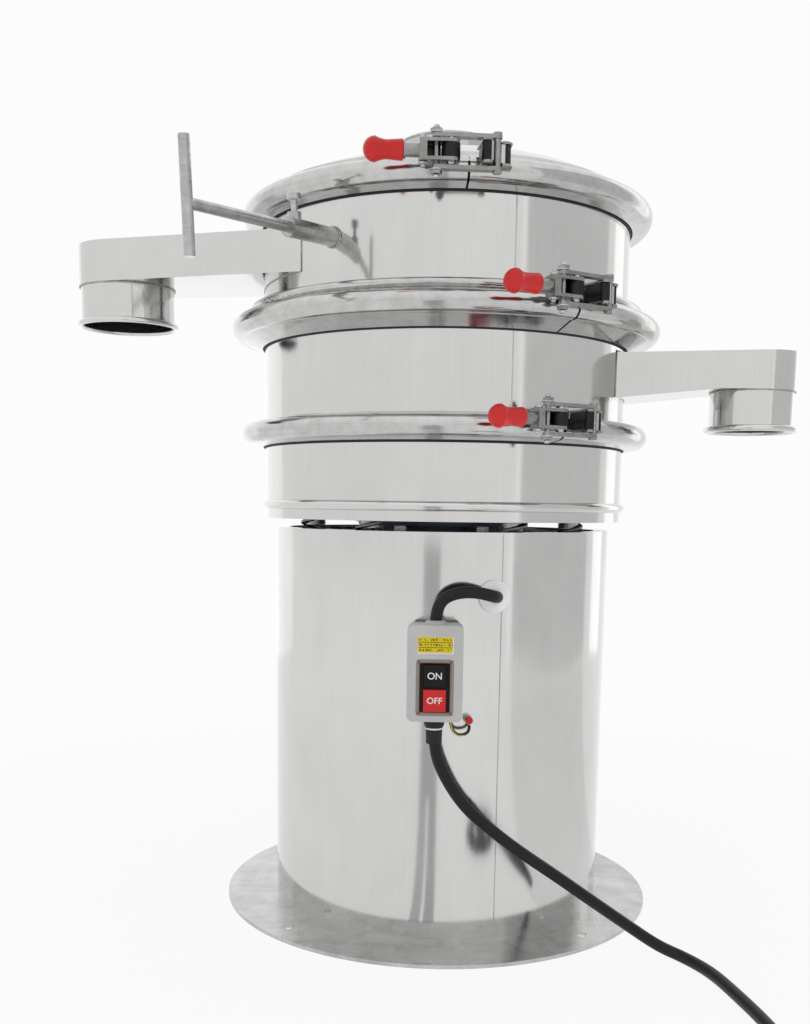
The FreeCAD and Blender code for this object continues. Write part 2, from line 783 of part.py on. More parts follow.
def makeLever(name, clamp):
    body = newBody(name + "_lever")
    plan = newSketch(body, "XY_Plane")
    outline(plan, [(pivot.x, pivot.y + 8), (-47, pivot.y + 7), (-47, pivot.y - 7),
                   (pivot.x, pivot.y - 8)], {3: (pivot.x + 8, pivot.y)})
    pad(body, plan, yokeHalf * 2, both=True)
    channel = newSketch(body, "XY_Plane")
    floor = pivot.y + 4.8
    outline(channel, [(-40, floor), (-40, pivot.y - 20), (0, pivot.y - 20), (0, pivot.y + 20),
                      (-27, pivot.y + 20), (-27, floor)])
    pocket(body, channel, yokeSlot * 2, both=True)
    for pin in (pivot, drawPin):
        hole = newSketch(body, "XY_Plane", yokeHalf)
        circle(hole, pin.x, pin.y, pinRadius + pinPlay)
        pocket(body, hole, yokeHalf * 2)
    rod = newSketch(body, "YZ_Plane", -47)
    circle(rod, pivot.y, 0, 6)
    pad(body, rod, 34, down=True)
    placed(body, clamp)


def makeGrip(name, clamp):
    """A bulb grip over the lever's end, turned upright and then laid along the lever."""
    body = newBody(name + "_grip")
    turn(body, [(0, 36), (0, 20.2), (6, 20.2), (6, 0), (8.6, 0), (9.2, 1.2), (8.2, 14), (11, 25)],
         {6: (8.9, 19.5), 7: (11 * math.sqrt(0.5), 25 + 11 * math.sqrt(0.5))})
    placed(body, clamp, Placement(Vector(-61, pivot.y, 0), Rotation(Vector(0, 1, 0), -90)))


def makePins(name, clamp):
    """The lever's rivet with its two heads."""
    body = newBody(name + "_pivot_pin")
    head = yokeHalf + 2.2
    turn(body, [(0, -head), (3.4, -head), (4.6, -yokeHalf - 0.8), (4.6, -yokeHalf - 0.1),
                (pinRadius, -yokeHalf - 0.1), (pinRadius, yokeHalf + 0.1), (4.6, yokeHalf + 0.1),
                (4.6, yokeHalf + 0.8), (3.4, head), (0, head)])
    placed(body, clamp, Placement(pivot, Rotation()))


def makeLinks(name, clamp):
    """Two link bars with the pin that the lever draws, its nuts, and the hook's cross pin."""
    body = newBody(name + "_links")
    low, high = yokeHalf + 2.6, yokeHalf + 6
    for height, down in ((low, False), (-low, True)):
        plan = newSketch(body, "XY_Plane", height)
        a, b = drawPin, hookPin
        outline(plan, [(a.x, a.y - 4.4), (b.x, b.y - 4.4), (b.x, b.y + 4.4), (a.x, a.y + 4.4)],
                {1: (b.x + 4.4, b.y), 3: (a.x - 4.4, a.y)})
        pad(body, plan, high - low, down=down)
    for pin, radius in ((drawPin, pinRadius), (hookPin, hookPinRadius)):
        stem = newSketch(body, "XY_Plane")
        circle(stem, pin.x, pin.y, radius)
        pad(body, stem, low * 2, both=True)
    for side, down in ((high, False), (-high, True)):
        nut = newSketch(body, "XY_Plane", side)
        corners = [(drawPin.x + 5.6 * math.cos(math.radians(60 * k)),
                    drawPin.y + 5.6 * math.sin(math.radians(60 * k))) for k in range(6)]
        outline(nut, corners)
        pad(body, nut, 4, down=down)
        end = newSketch(body, "XY_Plane", side)
        circle(end, hookPin.x, hookPin.y, 4.2)
        pad(body, end, 2, down=down)
    placed(body, clamp)


# ---- baffle rod: drawn along +X, outwards, with the wall's outer face at the origin

rodAngle = -123.3
rodTilt = -3                       # degrees; the rod droops a little outwards
rodHeight = 707
teeReach = 192
rodInside = -46
screwSpot = 56


def rodPlace():
    degrees = math.radians(rodAngle)
    base = Vector(plain(frameRadius) * math.cos(degrees), plain(frameRadius) * math.sin(degrees), rodHeight)
    return Placement(base, Rotation(Vector(0, 0, 1), rodAngle) * Rotation(Vector(0, 1, 0), -rodTilt))


def makeRodTool():
    tool = cylinder("rod_hole", s.rodDiameter / 2 + 0.5, 60, Vector())
    tool.Placement = rodPlace() * Placement(Vector(-40, 0, 0), Rotation(Vector(0, 1, 0), 90))
    return tool


def makeSleeve():
    body = newBody("sleeve_tube")
    radius = s.sleeveDiameter / 2
    tube = newSketch(body, "YZ_Plane", -6)
    circle(tube, 0, 0, radius)
    pad(body, tube, s.sleeveLength + 20)
    boss = newSketch(body, "XY_Plane", radius - 3)
    circle(boss, screwSpot, 0, 6.5)
    pad(body, boss, 8)
    bore = newSketch(body, "YZ_Plane", -8)
    circle(bore, 0, 0, s.rodDiameter / 2 + 0.06)
    pocket(body, bore, 120, up=True)
    tap = newSketch(body, "XY_Plane", radius + 12)
    circle(tap, screwSpot, 0, 3.1)
    pocket(body, tap, radius + 12)
    body.Placement = rodPlace()
    wall = cylinder("sleeve_wall", frameRadius, 80, Vector(0, 0, rodHeight - 40))
    sleeve = doc.addObject("Part::Cut", "rod_sleeve")
    sleeve.Base, sleeve.Tool = body, wall
    sleeve.Label = "rod_sleeve"


def makeBaffleRod():
    body = newBody("baffle_rod")
    rod = newSketch(body, "YZ_Plane", rodInside)
    circle(rod, 0, 0, s.rodDiameter / 2)
    pad(body, rod, teeReach - rodInside)
    tee = newSketch(body, "XY_Plane", -(s.teeHeight / 2 - 5.25))
    circle(tee, teeReach, 0, s.rodDiameter / 2)
    pad(body, tee, s.teeHeight)
    body.Placement = rodPlace()


def makeBaffleBlade():
    body = newBody("baffle_blade")
    plan = newSketch(body, "XY_Plane", -19)
    outline(plan, [(rodInside - 2.5, -42), (rodInside, -42), (rodInside, 42), (rodInside - 2.5, 42)])
    pad(body, plan, 38)
    body.Placement = rodPlace()


def makeSetScrew():
    body = newBody("set_screw")
    low = s.rodDiameter / 2 + 0.3
    turn(body, [(0, low), (2.4, low), (2.95, low + 1), (2.95, 25), (6.4, 25), (6.4, 30.2),
                (5.6, 31), (0, 31)])
    body.Placement = rodPlace() * Placement(Vector(screwSpot, 0, 0), Rotation())


# ---- switch box on the drum

boxCentre = -3.8
boxBottom = 244.5
boxBack = 200                      # the cover's back edge in front of the machine's axis
boxFace = 230
coverWall = 2.5
rockerLow, rockerHigh = 251, 305
buttonLow = {"off": 254.4, "on": 278.4}
boxTop = boxBottom + plain(s.boxHeight) - 2
glandLine = -214                   # the cables enter the box on this line
glandNut = 8
reliefLength = 24


def makeBoxBack():
    """Mounting block that follows the drum's curve."""
    body = newBody("box_back_block")
    plate = newSketch(body, "XZ_Plane", plain(drumRadius) - 8)
    half = s.boxWidth / 2
    rectangle(plate, boxCentre - half + 3, boxBottom + 3, boxCentre + half - 3, boxBottom + s.boxHeight - 5)
    pad(body, plate, boxBack - plain(drumRadius) + 8)
    drum = cylinder("box_drum", drumRadius, 200, Vector(0, 0, boxBottom - 50))
    back = doc.addObject("Part::Cut", "box_back")
    back.Base, back.Tool = body, drum
    back.Label = "box_back"


def roundedRectangle(sketch, x0, y0, x1, y1, r):
    k = r * (1 - math.sqrt(0.5))
    return outline(sketch, [
        (x0 + r, y0), (x1 - r, y0), (x1, y0 + r), (x1, y1 - r), (x1 - r, y1), (x0 + r, y1),
        (x0, y1 - r), (x0, y0 + r),
    ], {1: (x1 - k, y0 + k), 3: (x1 - k, y1 - k), 5: (x0 + k, y1 - k), 7: (x0 + k, y0 + k)})


def makeBoxCover():
    body = newBody("box_cover")
    half = plain(s.boxWidth) / 2
    top = boxBottom + plain(s.boxHeight) - 2
    r = plain(s.boxCornerRadius)
    outer = newSketch(body, "XZ_Plane", boxBack)
    roundedRectangle(outer, boxCentre - half, boxBottom, boxCentre + half, top, r)
    pad(body, outer, boxFace - boxBack)
    inner = newSketch(body, "XZ_Plane", boxBack)
    roundedRectangle(inner, boxCentre - half + coverWall, boxBottom + coverWall,
                     boxCentre + half - coverWall, top - coverWall, r - 2)
    pocket(body, inner, boxFace - boxBack - coverWall, up=True)
    window = newSketch(body, "XZ_Plane", boxFace)
    rectangle(window, boxCentre - 17.6, rockerLow, boxCentre + 17.6, rockerHigh)
    pocket(body, window, coverWall + 0.1)
    for height in (boxBottom - 1, top + 1):
        hole = newSketch(body, "XY_Plane", height)
        circle(hole, boxCentre, glandLine, 7.8)
        pocket(body, hole, coverWall + 2, up=height < boxBottom)


def makeBoxBezel():
    body = newBody("box_bezel")
    frame = newSketch(body, "XZ_Plane", boxFace - 12)
    rectangle(frame, boxCentre - 17.6, rockerLow, boxCentre + 17.6, rockerHigh)
    pad(body, frame, 11)
    half = s.buttonSize / 2 + fitGap
    for low in (buttonLow["off"], buttonLow["on"]):
        well = newSketch(body, "XZ_Plane", boxFace + 2)
        rectangle(well, boxCentre - half, low - fitGap, boxCentre + half, low + s.buttonSize + fitGap)
        pocket(body, well, 9)


def makeButton(name):
    body = newBody(name + "_button")
    low = buttonLow[name]
    half = s.buttonSize / 2
    face = newSketch(body, "XZ_Plane", boxFace - 4)
    rectangle(face, boxCentre - half, low, boxCentre + half, low + s.buttonSize)
    cap = pad(body, face, 6)
    doc.recompute()
    front = [e for e in range(1, 13) if abs(cap.Shape.Edges[e - 1].CenterOfMass.y + boxFace + 2) < 0.01]
    edge = body.newObject("PartDesign::Fillet", "Round")
    edge.Base = (cap, ["Edge%d" % e for e in front])
    edge.Radius = 1.2


def makeLeadCollar():
    """The low moulded collar through which the motor's lead enters the box."""
    body = newBody("lead_gland")
    bore = s.cableDiameter / 2 + 0.15
    turn(body, [(bore, -4), (7.8, -4), (7.8, 0), (11, 0), (10, 2.4), (8.5, 3.4), (bore, 3.4)])
    body.Placement = Placement(Vector(boxCentre, glandLine, boxTop), Rotation())


def makeCordGland():
    """A hexagon-sized gland whose tail tapers on to the cable as its strain relief."""
    body = newBody("cord_gland")
    bore = s.cableDiameter / 2 + 0.15
    turn(body, [(bore, -4), (7.8, -4), (7.8, 0), (10, 0), (10, 5), (8.6, glandNut), (8.2, glandNut),
                (8.2, glandNut + 3), (bore + 1.6, reliefLength), (bore + 0.8, reliefLength), (bore, 13)])
    body.Placement = Placement(Vector(boxCentre, glandLine, boxBottom), Rotation(Vector(1, 0, 0), 180))


# ---- cables

def route(name, points, radius):
    """A round cable along straight runs joined by arcs as large as the runs allow."""
    corners = [Vector(*p) for p in points]
    edges, radii, start = [], [], corners[0]
    for before, corner, after in zip(corners, corners[1:], corners[2:]):
        backward = before - corner
        forward = after - corner
        short = min(backward.Length, forward.Length)
        backward.normalize()
        forward.normalize()
        half = math.acos(max(-1, min(1, backward.dot(forward)))) / 2
        reach = 0.45 * short
        arcRadius = reach * math.tan(half)
        radii.append(round(arcRadius, 1))
        middle = (backward + forward).normalize()
        centre = corner + middle * (arcRadius / math.sin(half))
        entry, leave = corner + backward * reach, corner + forward * reach
        edges.append(Part.LineSegment(start, entry).toShape())
        edges.append(Part.Arc(entry, centre - middle * arcRadius, leave).toShape())
        start = leave
    edges.append(Part.LineSegment(start, corners[-1]).toShape())
    path = Part.Wire(edges)
    heading = corners[1] - corners[0]
    section = Part.Wire(Part.Circle(corners[0], heading, radius).toShape())
    tube = path.makePipeShell([section], True, True)
    expected = math.pi * radius ** 2 * path.Length
    print(name, "length %.0f" % path.Length, "volume ratio %.4f" % (tube.Volume / expected), "radii", radii)
    fromShape(name, tube)


cableRadius = plain(s.cableDiameter) / 2
floorLay = cableRadius + 0.1
leadDirection = Vector(math.cos(math.radians(leadAngle)), math.sin(math.radians(leadAngle)), 0)


def makeGrommet():
    body = newBody("lead_grommet")
    bore = s.cableDiameter / 2 + 0.2
    hole = s.leadHole / 2
    turn(body, [(bore, -7), (hole + 3, -7), (hole + 3, -3.8), (hole, -3.8), (hole, 0.6),
                (hole + 3.4, 0.6), (hole + 3.2, 3), (bore + 2, 6), (bore, 6)])
    place = Placement(leadDirection * plain(drumRadius) + Vector(0, 0, plain(s.leadHeight)),
                      Rotation(Vector(0, 0, 1), leadDirection))
    body.Placement = place


def makeMotorLead():
    """From the motor's terminal box out through the drum and over into the switch box."""
    height = plain(s.leadHeight)
    inside = [tuple(leadDirection * r + Vector(0, 0, height - drop))
              for r, drop in ((terminalReach - 14, 0), (terminalReach + 10, 3), (140, 6), (166, 0), (213, 0))]
    route("motor_lead", inside + [
        (30, -216, height + 8), (6, glandLine, height + 3),
        (boxCentre, glandLine, height - 10.5), (boxCentre, glandLine, boxTop - 3),
    ], cableRadius)


coilCentre = (228, -502)
coilRadii = (54, 78)
cordEnd = -488                     # where the cord has joined the coil's outer turn


def makeSupplyCord():
    """Hangs from the switch box, sweeps over the plate's edge and runs along the floor to its coil."""
    route("supply_cord", [
        (boxCentre, glandLine, boxBottom), (boxCentre, glandLine, 216), (6, -215.5, 189),
        (27, -217, 157.5), (54, -217.5, 134.5), (84, -216.5, 112), (119, -214, 88.5), (156, -210, 62),
        (198, -204, 32), (228, -203, 12), (252, -216, floorLay), (270, -250, floorLay),
        (281, -296, floorLay), (291, -345, floorLay), (298, -396, floorLay),
        (coilCentre[0] + 72, -432, floorLay), (coilCentre[0] + 72, cordEnd, floorLay),
    ], cableRadius)


def makeCordCoil():
    body = newBody("cord_coil_ring")
    inner, outer = coilRadii
    turn(body, [(inner, 0.1), (outer, 0.1), (outer, 12), (outer - 5.5, 22.4), (inner + 5.5, 22.4), (inner, 12)])
    body.Placement = Placement(Vector(coilCentre[0], coilCentre[1], 0), Rotation())
    coil = doc.addObject("Part::Cut", "cord_coil")
    channel = cylinder("coil_channel", s.cableDiameter / 2 + 0.05, 90, Vector())
    channel.Placement = Placement(Vector(coilCentre[0] + 72, cordEnd, floorLay), Rotation(Vector(1, 0, 0), -90))
    coil.Base, coil.Tool = body, channel
    coil.Label = "cord_coil"


def makePlug():
    """A round plug with two pins, lying in the coil."""
    body = newBody("mains_plug")
    turn(body, [(0, -40), (16.5, -40), (18, -38.5), (18, -8), (15, 0), (11, 4), (8.4, 6), (7, 24), (0, 24)])
    pins = newSketch(body, "XY_Plane", -40)
    for side in (-9.5, 9.5):
        circle(pins, side, 0, 2.4)
    pad(body, pins, 19, down=True)
    body.Placement = Placement(Vector(coilCentre[0] + 29.4, coilCentre[1], 18.1),
                               Rotation(Vector(0, 1, 0), 90) * Rotation(Vector(0, 0, 1), 90))


earthAngle = -81
earthHeight = 240


def makeEarth():
    body = newBody("earth_stud")
    turn(body, [(0, 0.1), (4.6, 0.1), (4.6, 2.2), (3, 2.2),
                (3, 3.4), (4.2, 3.4), (4.2, 7), (2.4, 7), (2.4, 10), (0, 10)])
    turned = math.radians(earthAngle)
    outwards = Vector(math.cos(turned), math.sin(turned), 0)
    body.Placement = Placement(outwards * plain(drumRadius) + Vector(0, 0, earthHeight),
                               Rotation(Vector(0, 0, 1), outwards))
    route("earth_wire", [(12, -207, boxBottom), (13, -207, 234), (19, -206, 227), (27, -202, 227),
                         (31.6, -196, 230), (31.2, -191.4, 233.8)], 1.6)


# ---- the whole machine

def makeEverything():
    makeBasePlate()
    makeBaseDrum()
    makeSpringBrackets()
    makeSprings()
    makeLowerFrame()
    makeMotorPlate()
    makeSpringCaps()
    makeMotorHousing()
    makeMotorBolts()
    makeTerminalBox()
    makeShaft()
    makeWeights()
    makeDischargePan()
    makeScreenFrame()
    makeScreenMesh()
    finesWindow = makeOutlet("fines", outlets["fines"])
    coarseWindow = makeOutlet("oversize", outlets["oversize"])
    makeFrame("middle_frame", lowerJoint + lowerStack / 2, s.lowerFlangeRise + upperExtra,
              screenJoint - screenStack / 2, s.screenFlangeRise, [finesWindow])
    makeFrame("top_frame", screenJoint + screenStack / 2, s.screenFlangeRise + upperExtra,
              lidJoint - lidStack / 2, s.lidFlangeRise, [coarseWindow, makeRodTool()])
    makeLid()
    makeInletCollar()
    for name, clamp in clamps.items():
        makeGasket(name + "_gasket", clamp["joint"], clamp["stack"], clamp["rise"])
        makeBand(name, clamp)
        makeLever(name, clamp)
        makeGrip(name, clamp)
        makePins(name, clamp)
        makeLinks(name, clamp)
    makeSleeve()
    makeBaffleRod()
    makeBaffleBlade()
    makeSetScrew()
    makeBoxBack()
    makeBoxCover()
    makeBoxBezel()
    makeButton("on")
    makeButton("off")
    makeLeadCollar()
    makeCordGland()
    makeGrommet()
    makeMotorLead()
    makeSupplyCord()
    makeCordCoil()
    makePlug()
    makeEarth()


nodes = """base_plate base_drum spring_brackets support_springs lower_frame motor_plate spring_caps
motor_housing motor_bolts motor_terminal_box motor_shaft upper_weight lower_weight phase_weight
discharge_pan screen_frame screen_mesh middle_frame fines_spout top_frame oversize_spout lid
inlet_collar lower_gasket screen_gasket lid_gasket lower_band screen_band lid_band lower_lever
screen_lever lid_lever lower_grip screen_grip lid_grip lower_pivot_pin screen_pivot_pin
lid_pivot_pin lower_links screen_links lid_links rod_sleeve baffle_rod baffle_blade set_screw
box_back box_cover box_bezel on_button off_button lead_gland cord_gland lead_grommet motor_lead
supply_cord cord_coil mains_plug earth_stud earth_wire""".split()


def checkAndWrite():
    doc.recompute()
    faults = [o.Label for o in doc.Objects if "Invalid" in o.State or "Error" in o.State]
    if faults:
        raise RuntimeError("failed objects: " + ", ".join(faults))
    os.makedirs("parts", exist_ok=True)
    byLabel = {o.Label: o for o in doc.Objects}
    missing = [name for name in nodes if name not in byLabel]
    if missing:
        raise RuntimeError("missing: " + ", ".join(missing))
    for name in nodes:
        shape = byLabel[name].Shape
        if shape.isNull() or not shape.isValid() or shape.Volume <= 0:
            raise RuntimeError("bad shape: " + name)
    for name in nodes:
        byLabel[name].Shape.exportStep("parts/%s.step" % name)
    print(len(nodes), "nodes written")


makeEverything()
checkAndWrite()
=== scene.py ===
import json
import math

import bpy
from mathutils import Matrix, Vector


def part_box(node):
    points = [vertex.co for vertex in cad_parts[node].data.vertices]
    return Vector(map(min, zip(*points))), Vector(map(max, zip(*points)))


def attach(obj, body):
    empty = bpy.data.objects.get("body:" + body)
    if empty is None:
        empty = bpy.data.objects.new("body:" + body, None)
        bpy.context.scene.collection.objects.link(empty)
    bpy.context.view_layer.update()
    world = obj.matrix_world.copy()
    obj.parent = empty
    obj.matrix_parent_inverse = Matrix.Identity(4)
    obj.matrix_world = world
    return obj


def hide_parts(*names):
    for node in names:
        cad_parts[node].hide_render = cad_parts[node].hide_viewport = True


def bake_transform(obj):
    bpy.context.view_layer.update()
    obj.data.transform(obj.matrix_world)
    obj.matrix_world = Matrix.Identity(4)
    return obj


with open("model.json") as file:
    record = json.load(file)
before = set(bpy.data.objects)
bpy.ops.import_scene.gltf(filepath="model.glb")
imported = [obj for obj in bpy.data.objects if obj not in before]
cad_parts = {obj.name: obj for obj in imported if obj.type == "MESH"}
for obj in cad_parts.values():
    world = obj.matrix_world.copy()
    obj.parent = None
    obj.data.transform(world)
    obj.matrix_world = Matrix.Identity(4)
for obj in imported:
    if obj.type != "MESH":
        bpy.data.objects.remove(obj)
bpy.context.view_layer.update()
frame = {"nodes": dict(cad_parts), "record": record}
nodes = frame["nodes"]
mm = 0.001
print("frame loaded")


# Camera

view = {"place": (-0.00086, -1.274, 0.4533), "pitch": 8.10, "yaw": 1.746, "roll": 0.774,
        "lens": 38.66, "shift": 0.1445}


def addCamera():
    data = bpy.data.cameras.new("camera")
    camera = bpy.data.objects.new("camera", data)
    bpy.context.scene.collection.objects.link(camera)
    data.lens, data.shift_y = view["lens"], view["shift"]
    turn = (Matrix.Rotation(math.radians(view["yaw"]), 4, "Z")
            @ Matrix.Rotation(math.radians(90 - view["pitch"]), 4, "X")
            @ Matrix.Rotation(math.radians(view["roll"]), 4, "Z"))
    camera.matrix_world = Matrix.Translation(view["place"]) @ turn
    bpy.context.scene.camera = camera


addCamera()
print("camera placed")


# Shader maths: a value is a socket, and the usual operators add Math nodes

class Value:
    def __init__(self, tree, socket):
        self.tree, self.socket = tree, socket

    def math(self, operation, other=0.0, first=None):
        values = {0: self if first is None else first, 1: other}
        return self.tree.node("ShaderNodeMath", {"operation": operation}, values)

    def __add__(self, other): return self.math("ADD", other)
    def __radd__(self, other): return self.math("ADD", other)
    def __sub__(self, other): return self.math("SUBTRACT", other)
    def __rsub__(self, other): return self.math("SUBTRACT", self, first=other)
    def __mul__(self, other): return self.math("MULTIPLY", other)
    def __rmul__(self, other): return self.math("MULTIPLY", other)
    def clamped(self): return self.tree.node("ShaderNodeClamp", {}, {0: self})


class Material:
    def __init__(self, name):
        self.material = bpy.data.materials.new(name)
        self.material.use_nodes = True
        self.nodes = self.material.node_tree.nodes
        self.links = self.material.node_tree.links
        self.shader = self.nodes["Principled BSDF"]
        self.place = Value(self, self.nodes.new("ShaderNodeTexCoord").outputs["Object"])

    def node(self, kind, settings, sockets, output=0):
        made = self.nodes.new(kind)
        for key, setting in settings.items():
            setattr(made, key, setting)
        for key, value in sockets.items():
            if isinstance(value, Value):
                self.links.new(value.socket, made.inputs[key])
            else:
                made.inputs[key].default_value = value
        return Value(self, made.outputs[output])

    def mapped(self, scale, turn):
        return self.node("ShaderNodeMapping", {}, {0: self.place, 2: turn, 3: scale})

    def noise(self, scale, detail=3.0, rough=0.5, stretch=(1, 1, 1), turn=(0, 0, 0), warp=0.0):
        return self.node("ShaderNodeTexNoise", {}, {
            "Vector": self.mapped(stretch, turn), "Scale": scale, "Detail": detail,
            "Roughness": rough, "Distortion": warp})

    def spread(self, value, low, high, fromLow=0.3, fromHigh=0.7):
        return self.node("ShaderNodeMapRange", {}, {0: value, 1: fromLow, 2: fromHigh, 3: low, 4: high})

    def mixed(self, factor, a, b):
        made = self.nodes.new("ShaderNodeMix")
        made.data_type = "RGBA"
        for socket, value in ((made.inputs[0], factor), (made.inputs[6], a), (made.inputs[7], b)):
            if isinstance(value, Value):
                self.links.new(value.socket, socket)
            else:
                socket.default_value = (*value, 1) if isinstance(value, tuple) else value
        return Value(self, made.outputs[2])

    def bump(self, height, distance, strength):
        normal = self.node("ShaderNodeBump", {}, {"Height": height, "Distance": distance,
                                                  "Strength": strength})
        self.links.new(normal.socket, self.shader.inputs["Normal"])

    def set(self, **values):
        names = {"color": "Base Color", "rough": "Roughness", "metal": "Metallic", "coat": "Coat Weight",
                 "sheen": "Specular IOR Level"}
        for key, value in values.items():
            socket = self.shader.inputs[names[key]]
            if isinstance(value, Value):
                self.links.new(value.socket, socket)
            else:
                socket.default_value = (*value, 1) if isinstance(value, tuple) else value


def makePolishedSheet(name, shade, low=0.07, high=0.16):
    m = Material(name)
    grain = m.noise(900, 2, 0.6, (1, 1, 0.012))           # fine vertical polishing lines
    cloud = m.noise(7, 3, 0.55)
    smudge = m.noise(26, 4, 0.6, (1, 1, 0.5), warp=0.6)
    wave = m.noise(3.6, 2, 0.5, (1, 1, 0.3))
    tone = m.spread(cloud * 0.45 + grain * 0.25 + smudge * 0.3, 0.0, 1.0, 0.35, 0.65)
    m.set(color=m.mixed(tone.clamped(), tuple(0.9 * c for c in shade), shade), metal=1.0,
          rough=m.spread(cloud * 0.4 + grain * 0.3 + smudge * 0.3, low, high))
    m.bump(wave + grain * 0.004, 0.004, 0.5)
    return m


# Sheet spun into rings: its polishing lines run round the machine, and it is soiled in random patches.
def makeSpunSheet(name, shade, low=0.08, high=0.2, depth=0.0007):
    m = Material(name)
    rings = m.noise(260, 3, 0.6, (0.02, 0.02, 1))
    dents = m.noise(15, 3, 0.5, (1, 1, 0.6), warp=0.8)
    soil = m.noise(60, 4, 0.65)
    tone = m.spread(rings * 0.35 + soil * 0.65, 0.0, 1.0, 0.38, 0.62)
    m.set(color=m.mixed(tone.clamped(), tuple(0.8 * c for c in shade), shade), metal=1.0,
          rough=m.spread(rings * 0.5 + soil * 0.5, low, high))
    m.bump(dents + rings * 0.05, depth, 0.6)
    return m


# Cold-rolled plate with wiping marks and a cloudy, scratched face.
def makeMottledPlate(name, shade):
    m = Material(name)
    cloud = m.noise(9, 5, 0.65, warp=1.2)
    blotch = m.noise(38, 4, 0.6, warp=0.8)
    scratch = m.noise(420, 2, 0.6, (1, 0.03, 1), (0, 0, 0.6))
    cross = m.noise(420, 2, 0.6, (0.03, 1, 1), (0, 0, 0.25))
    tone = m.spread(cloud * 0.45 + blotch * 0.35 + scratch * 0.1 + cross * 0.1, 0.0, 1.0, 0.38, 0.62)
    m.set(color=m.mixed(tone.clamped(), tuple(0.62 * c for c in shade), shade), metal=1.0,
          rough=m.spread(cloud * 0.5 + blotch * 0.5, 0.16, 0.34))
    m.bump(scratch * 0.3 + cross * 0.3 + blotch, 0.0005, 0.4)
    return m


def makeMetal(name, shade, low=0.2, high=0.35, grainScale=600, stretch=(1, 1, 1), depth=0.0006):
    m = Material(name)
    grain = m.noise(grainScale, 3, 0.6, stretch)
    cloud = m.noise(60, 4, 0.6)
    tone = m.spread(cloud * 0.7 + grain * 0.3, 0.0, 1.0, 0.38, 0.62)
    m.set(color=m.mixed(tone.clamped(), tuple(0.7 * c for c in shade), shade),
          metal=1.0, rough=m.spread(cloud * 0.5 + grain * 0.5, low, high))
    m.bump(grain, depth, 0.4)
    return m


def makePlastic(name, shade, rough=0.45, grainScale=900, depth=0.0001, coat=0.0, sheen=0.5):
    m = Material(name)
    m.set(sheen=sheen, coat=coat)
    m.shader.inputs["Coat Roughness"].default_value = 0.1
    grain = m.noise(grainScale, 3, 0.6)
    cloud = m.noise(25, 3, 0.55)
    m.set(color=m.mixed(m.spread(cloud, 0, 1).clamped(), tuple(0.88 * c for c in shade), shade),
          rough=m.spread(cloud * 0.5 + grain * 0.5, rough - 0.06, rough + 0.08))
    m.bump(grain, depth, 0.5)
    return m


def makeWeldMetal():
    m = Material("weldBead")
    ripple = m.noise(520, 2, 0.5)
    heat = m.noise(70, 3, 0.6)
    m.set(color=m.mixed(m.spread(heat, 0, 1).clamped(), (0.30, 0.28, 0.25), (0.52, 0.51, 0.49)),
          metal=1.0, rough=m.spread(ripple, 0.28, 0.5))
    m.bump(ripple, 0.0012, 0.8)
    return m


# The yellow stripe of the black earth lead.
def makeStripe():
    m = Material("earthSheath")
    grain = m.noise(1500, 2, 0.5)
    m.set(color=m.mixed(m.spread(grain, 0, 1).clamped(), (0.62, 0.5, 0.02), (0.78, 0.64, 0.04)),
          rough=m.spread(grain, 0.35, 0.5))
    return m


# Heights are in metres above the floor; corners are (x, z) in millimetres
label = {"low": (-20.4, 312.1), "high": (12.8, 327.1), "rules": (0.3221, 0.3171), "ruleHalf": 0.0003,
         "middleRow": 0.3196, "rowStep": 0.005, "rowHalf": 0.0011}
backing = {"low": (-20.8, 310.9), "high": (14.0, 327.4)}


# Yellow label with two printed rules and three rows of small illegible marks.
def makeLabel():
    m = Material("labelFilm")
    height = m.node("ShaderNodeSeparateXYZ", {}, {0: m.place}, 2)
    upper, lower = ((height - z).math("ABSOLUTE").math("LESS_THAN", label["ruleHalf"])
                    for z in label["rules"])
    grain = m.noise(700, 3, 0.5)
    film = m.mixed(m.spread(grain, 0, 1).clamped(), (0.64, 0.485, 0.004), (0.72, 0.56, 0.007))
    fromMiddle = (height - label["middleRow"]).math("ABSOLUTE")
    outerRows = (fromMiddle - label["rowStep"]).math("ABSOLUTE").math("LESS_THAN", label["rowHalf"])
    rows = (outerRows + fromMiddle.math("LESS_THAN", label["rowHalf"])).clamped()
    marks = m.noise(620, 1, 0.5, (1, 1, 0.6)).math("GREATER_THAN", 0.53) * rows
    inked = m.mixed(marks * 0.8, film, (0.05, 0.045, 0.05))
    m.set(color=m.mixed((upper + lower).clamped(), inked, (0.10, 0.08, 0.03)),
          rough=m.spread(grain, 0.32, 0.45), sheen=0.2)
    m.bump(grain, 0.00005, 0.3)
    return m


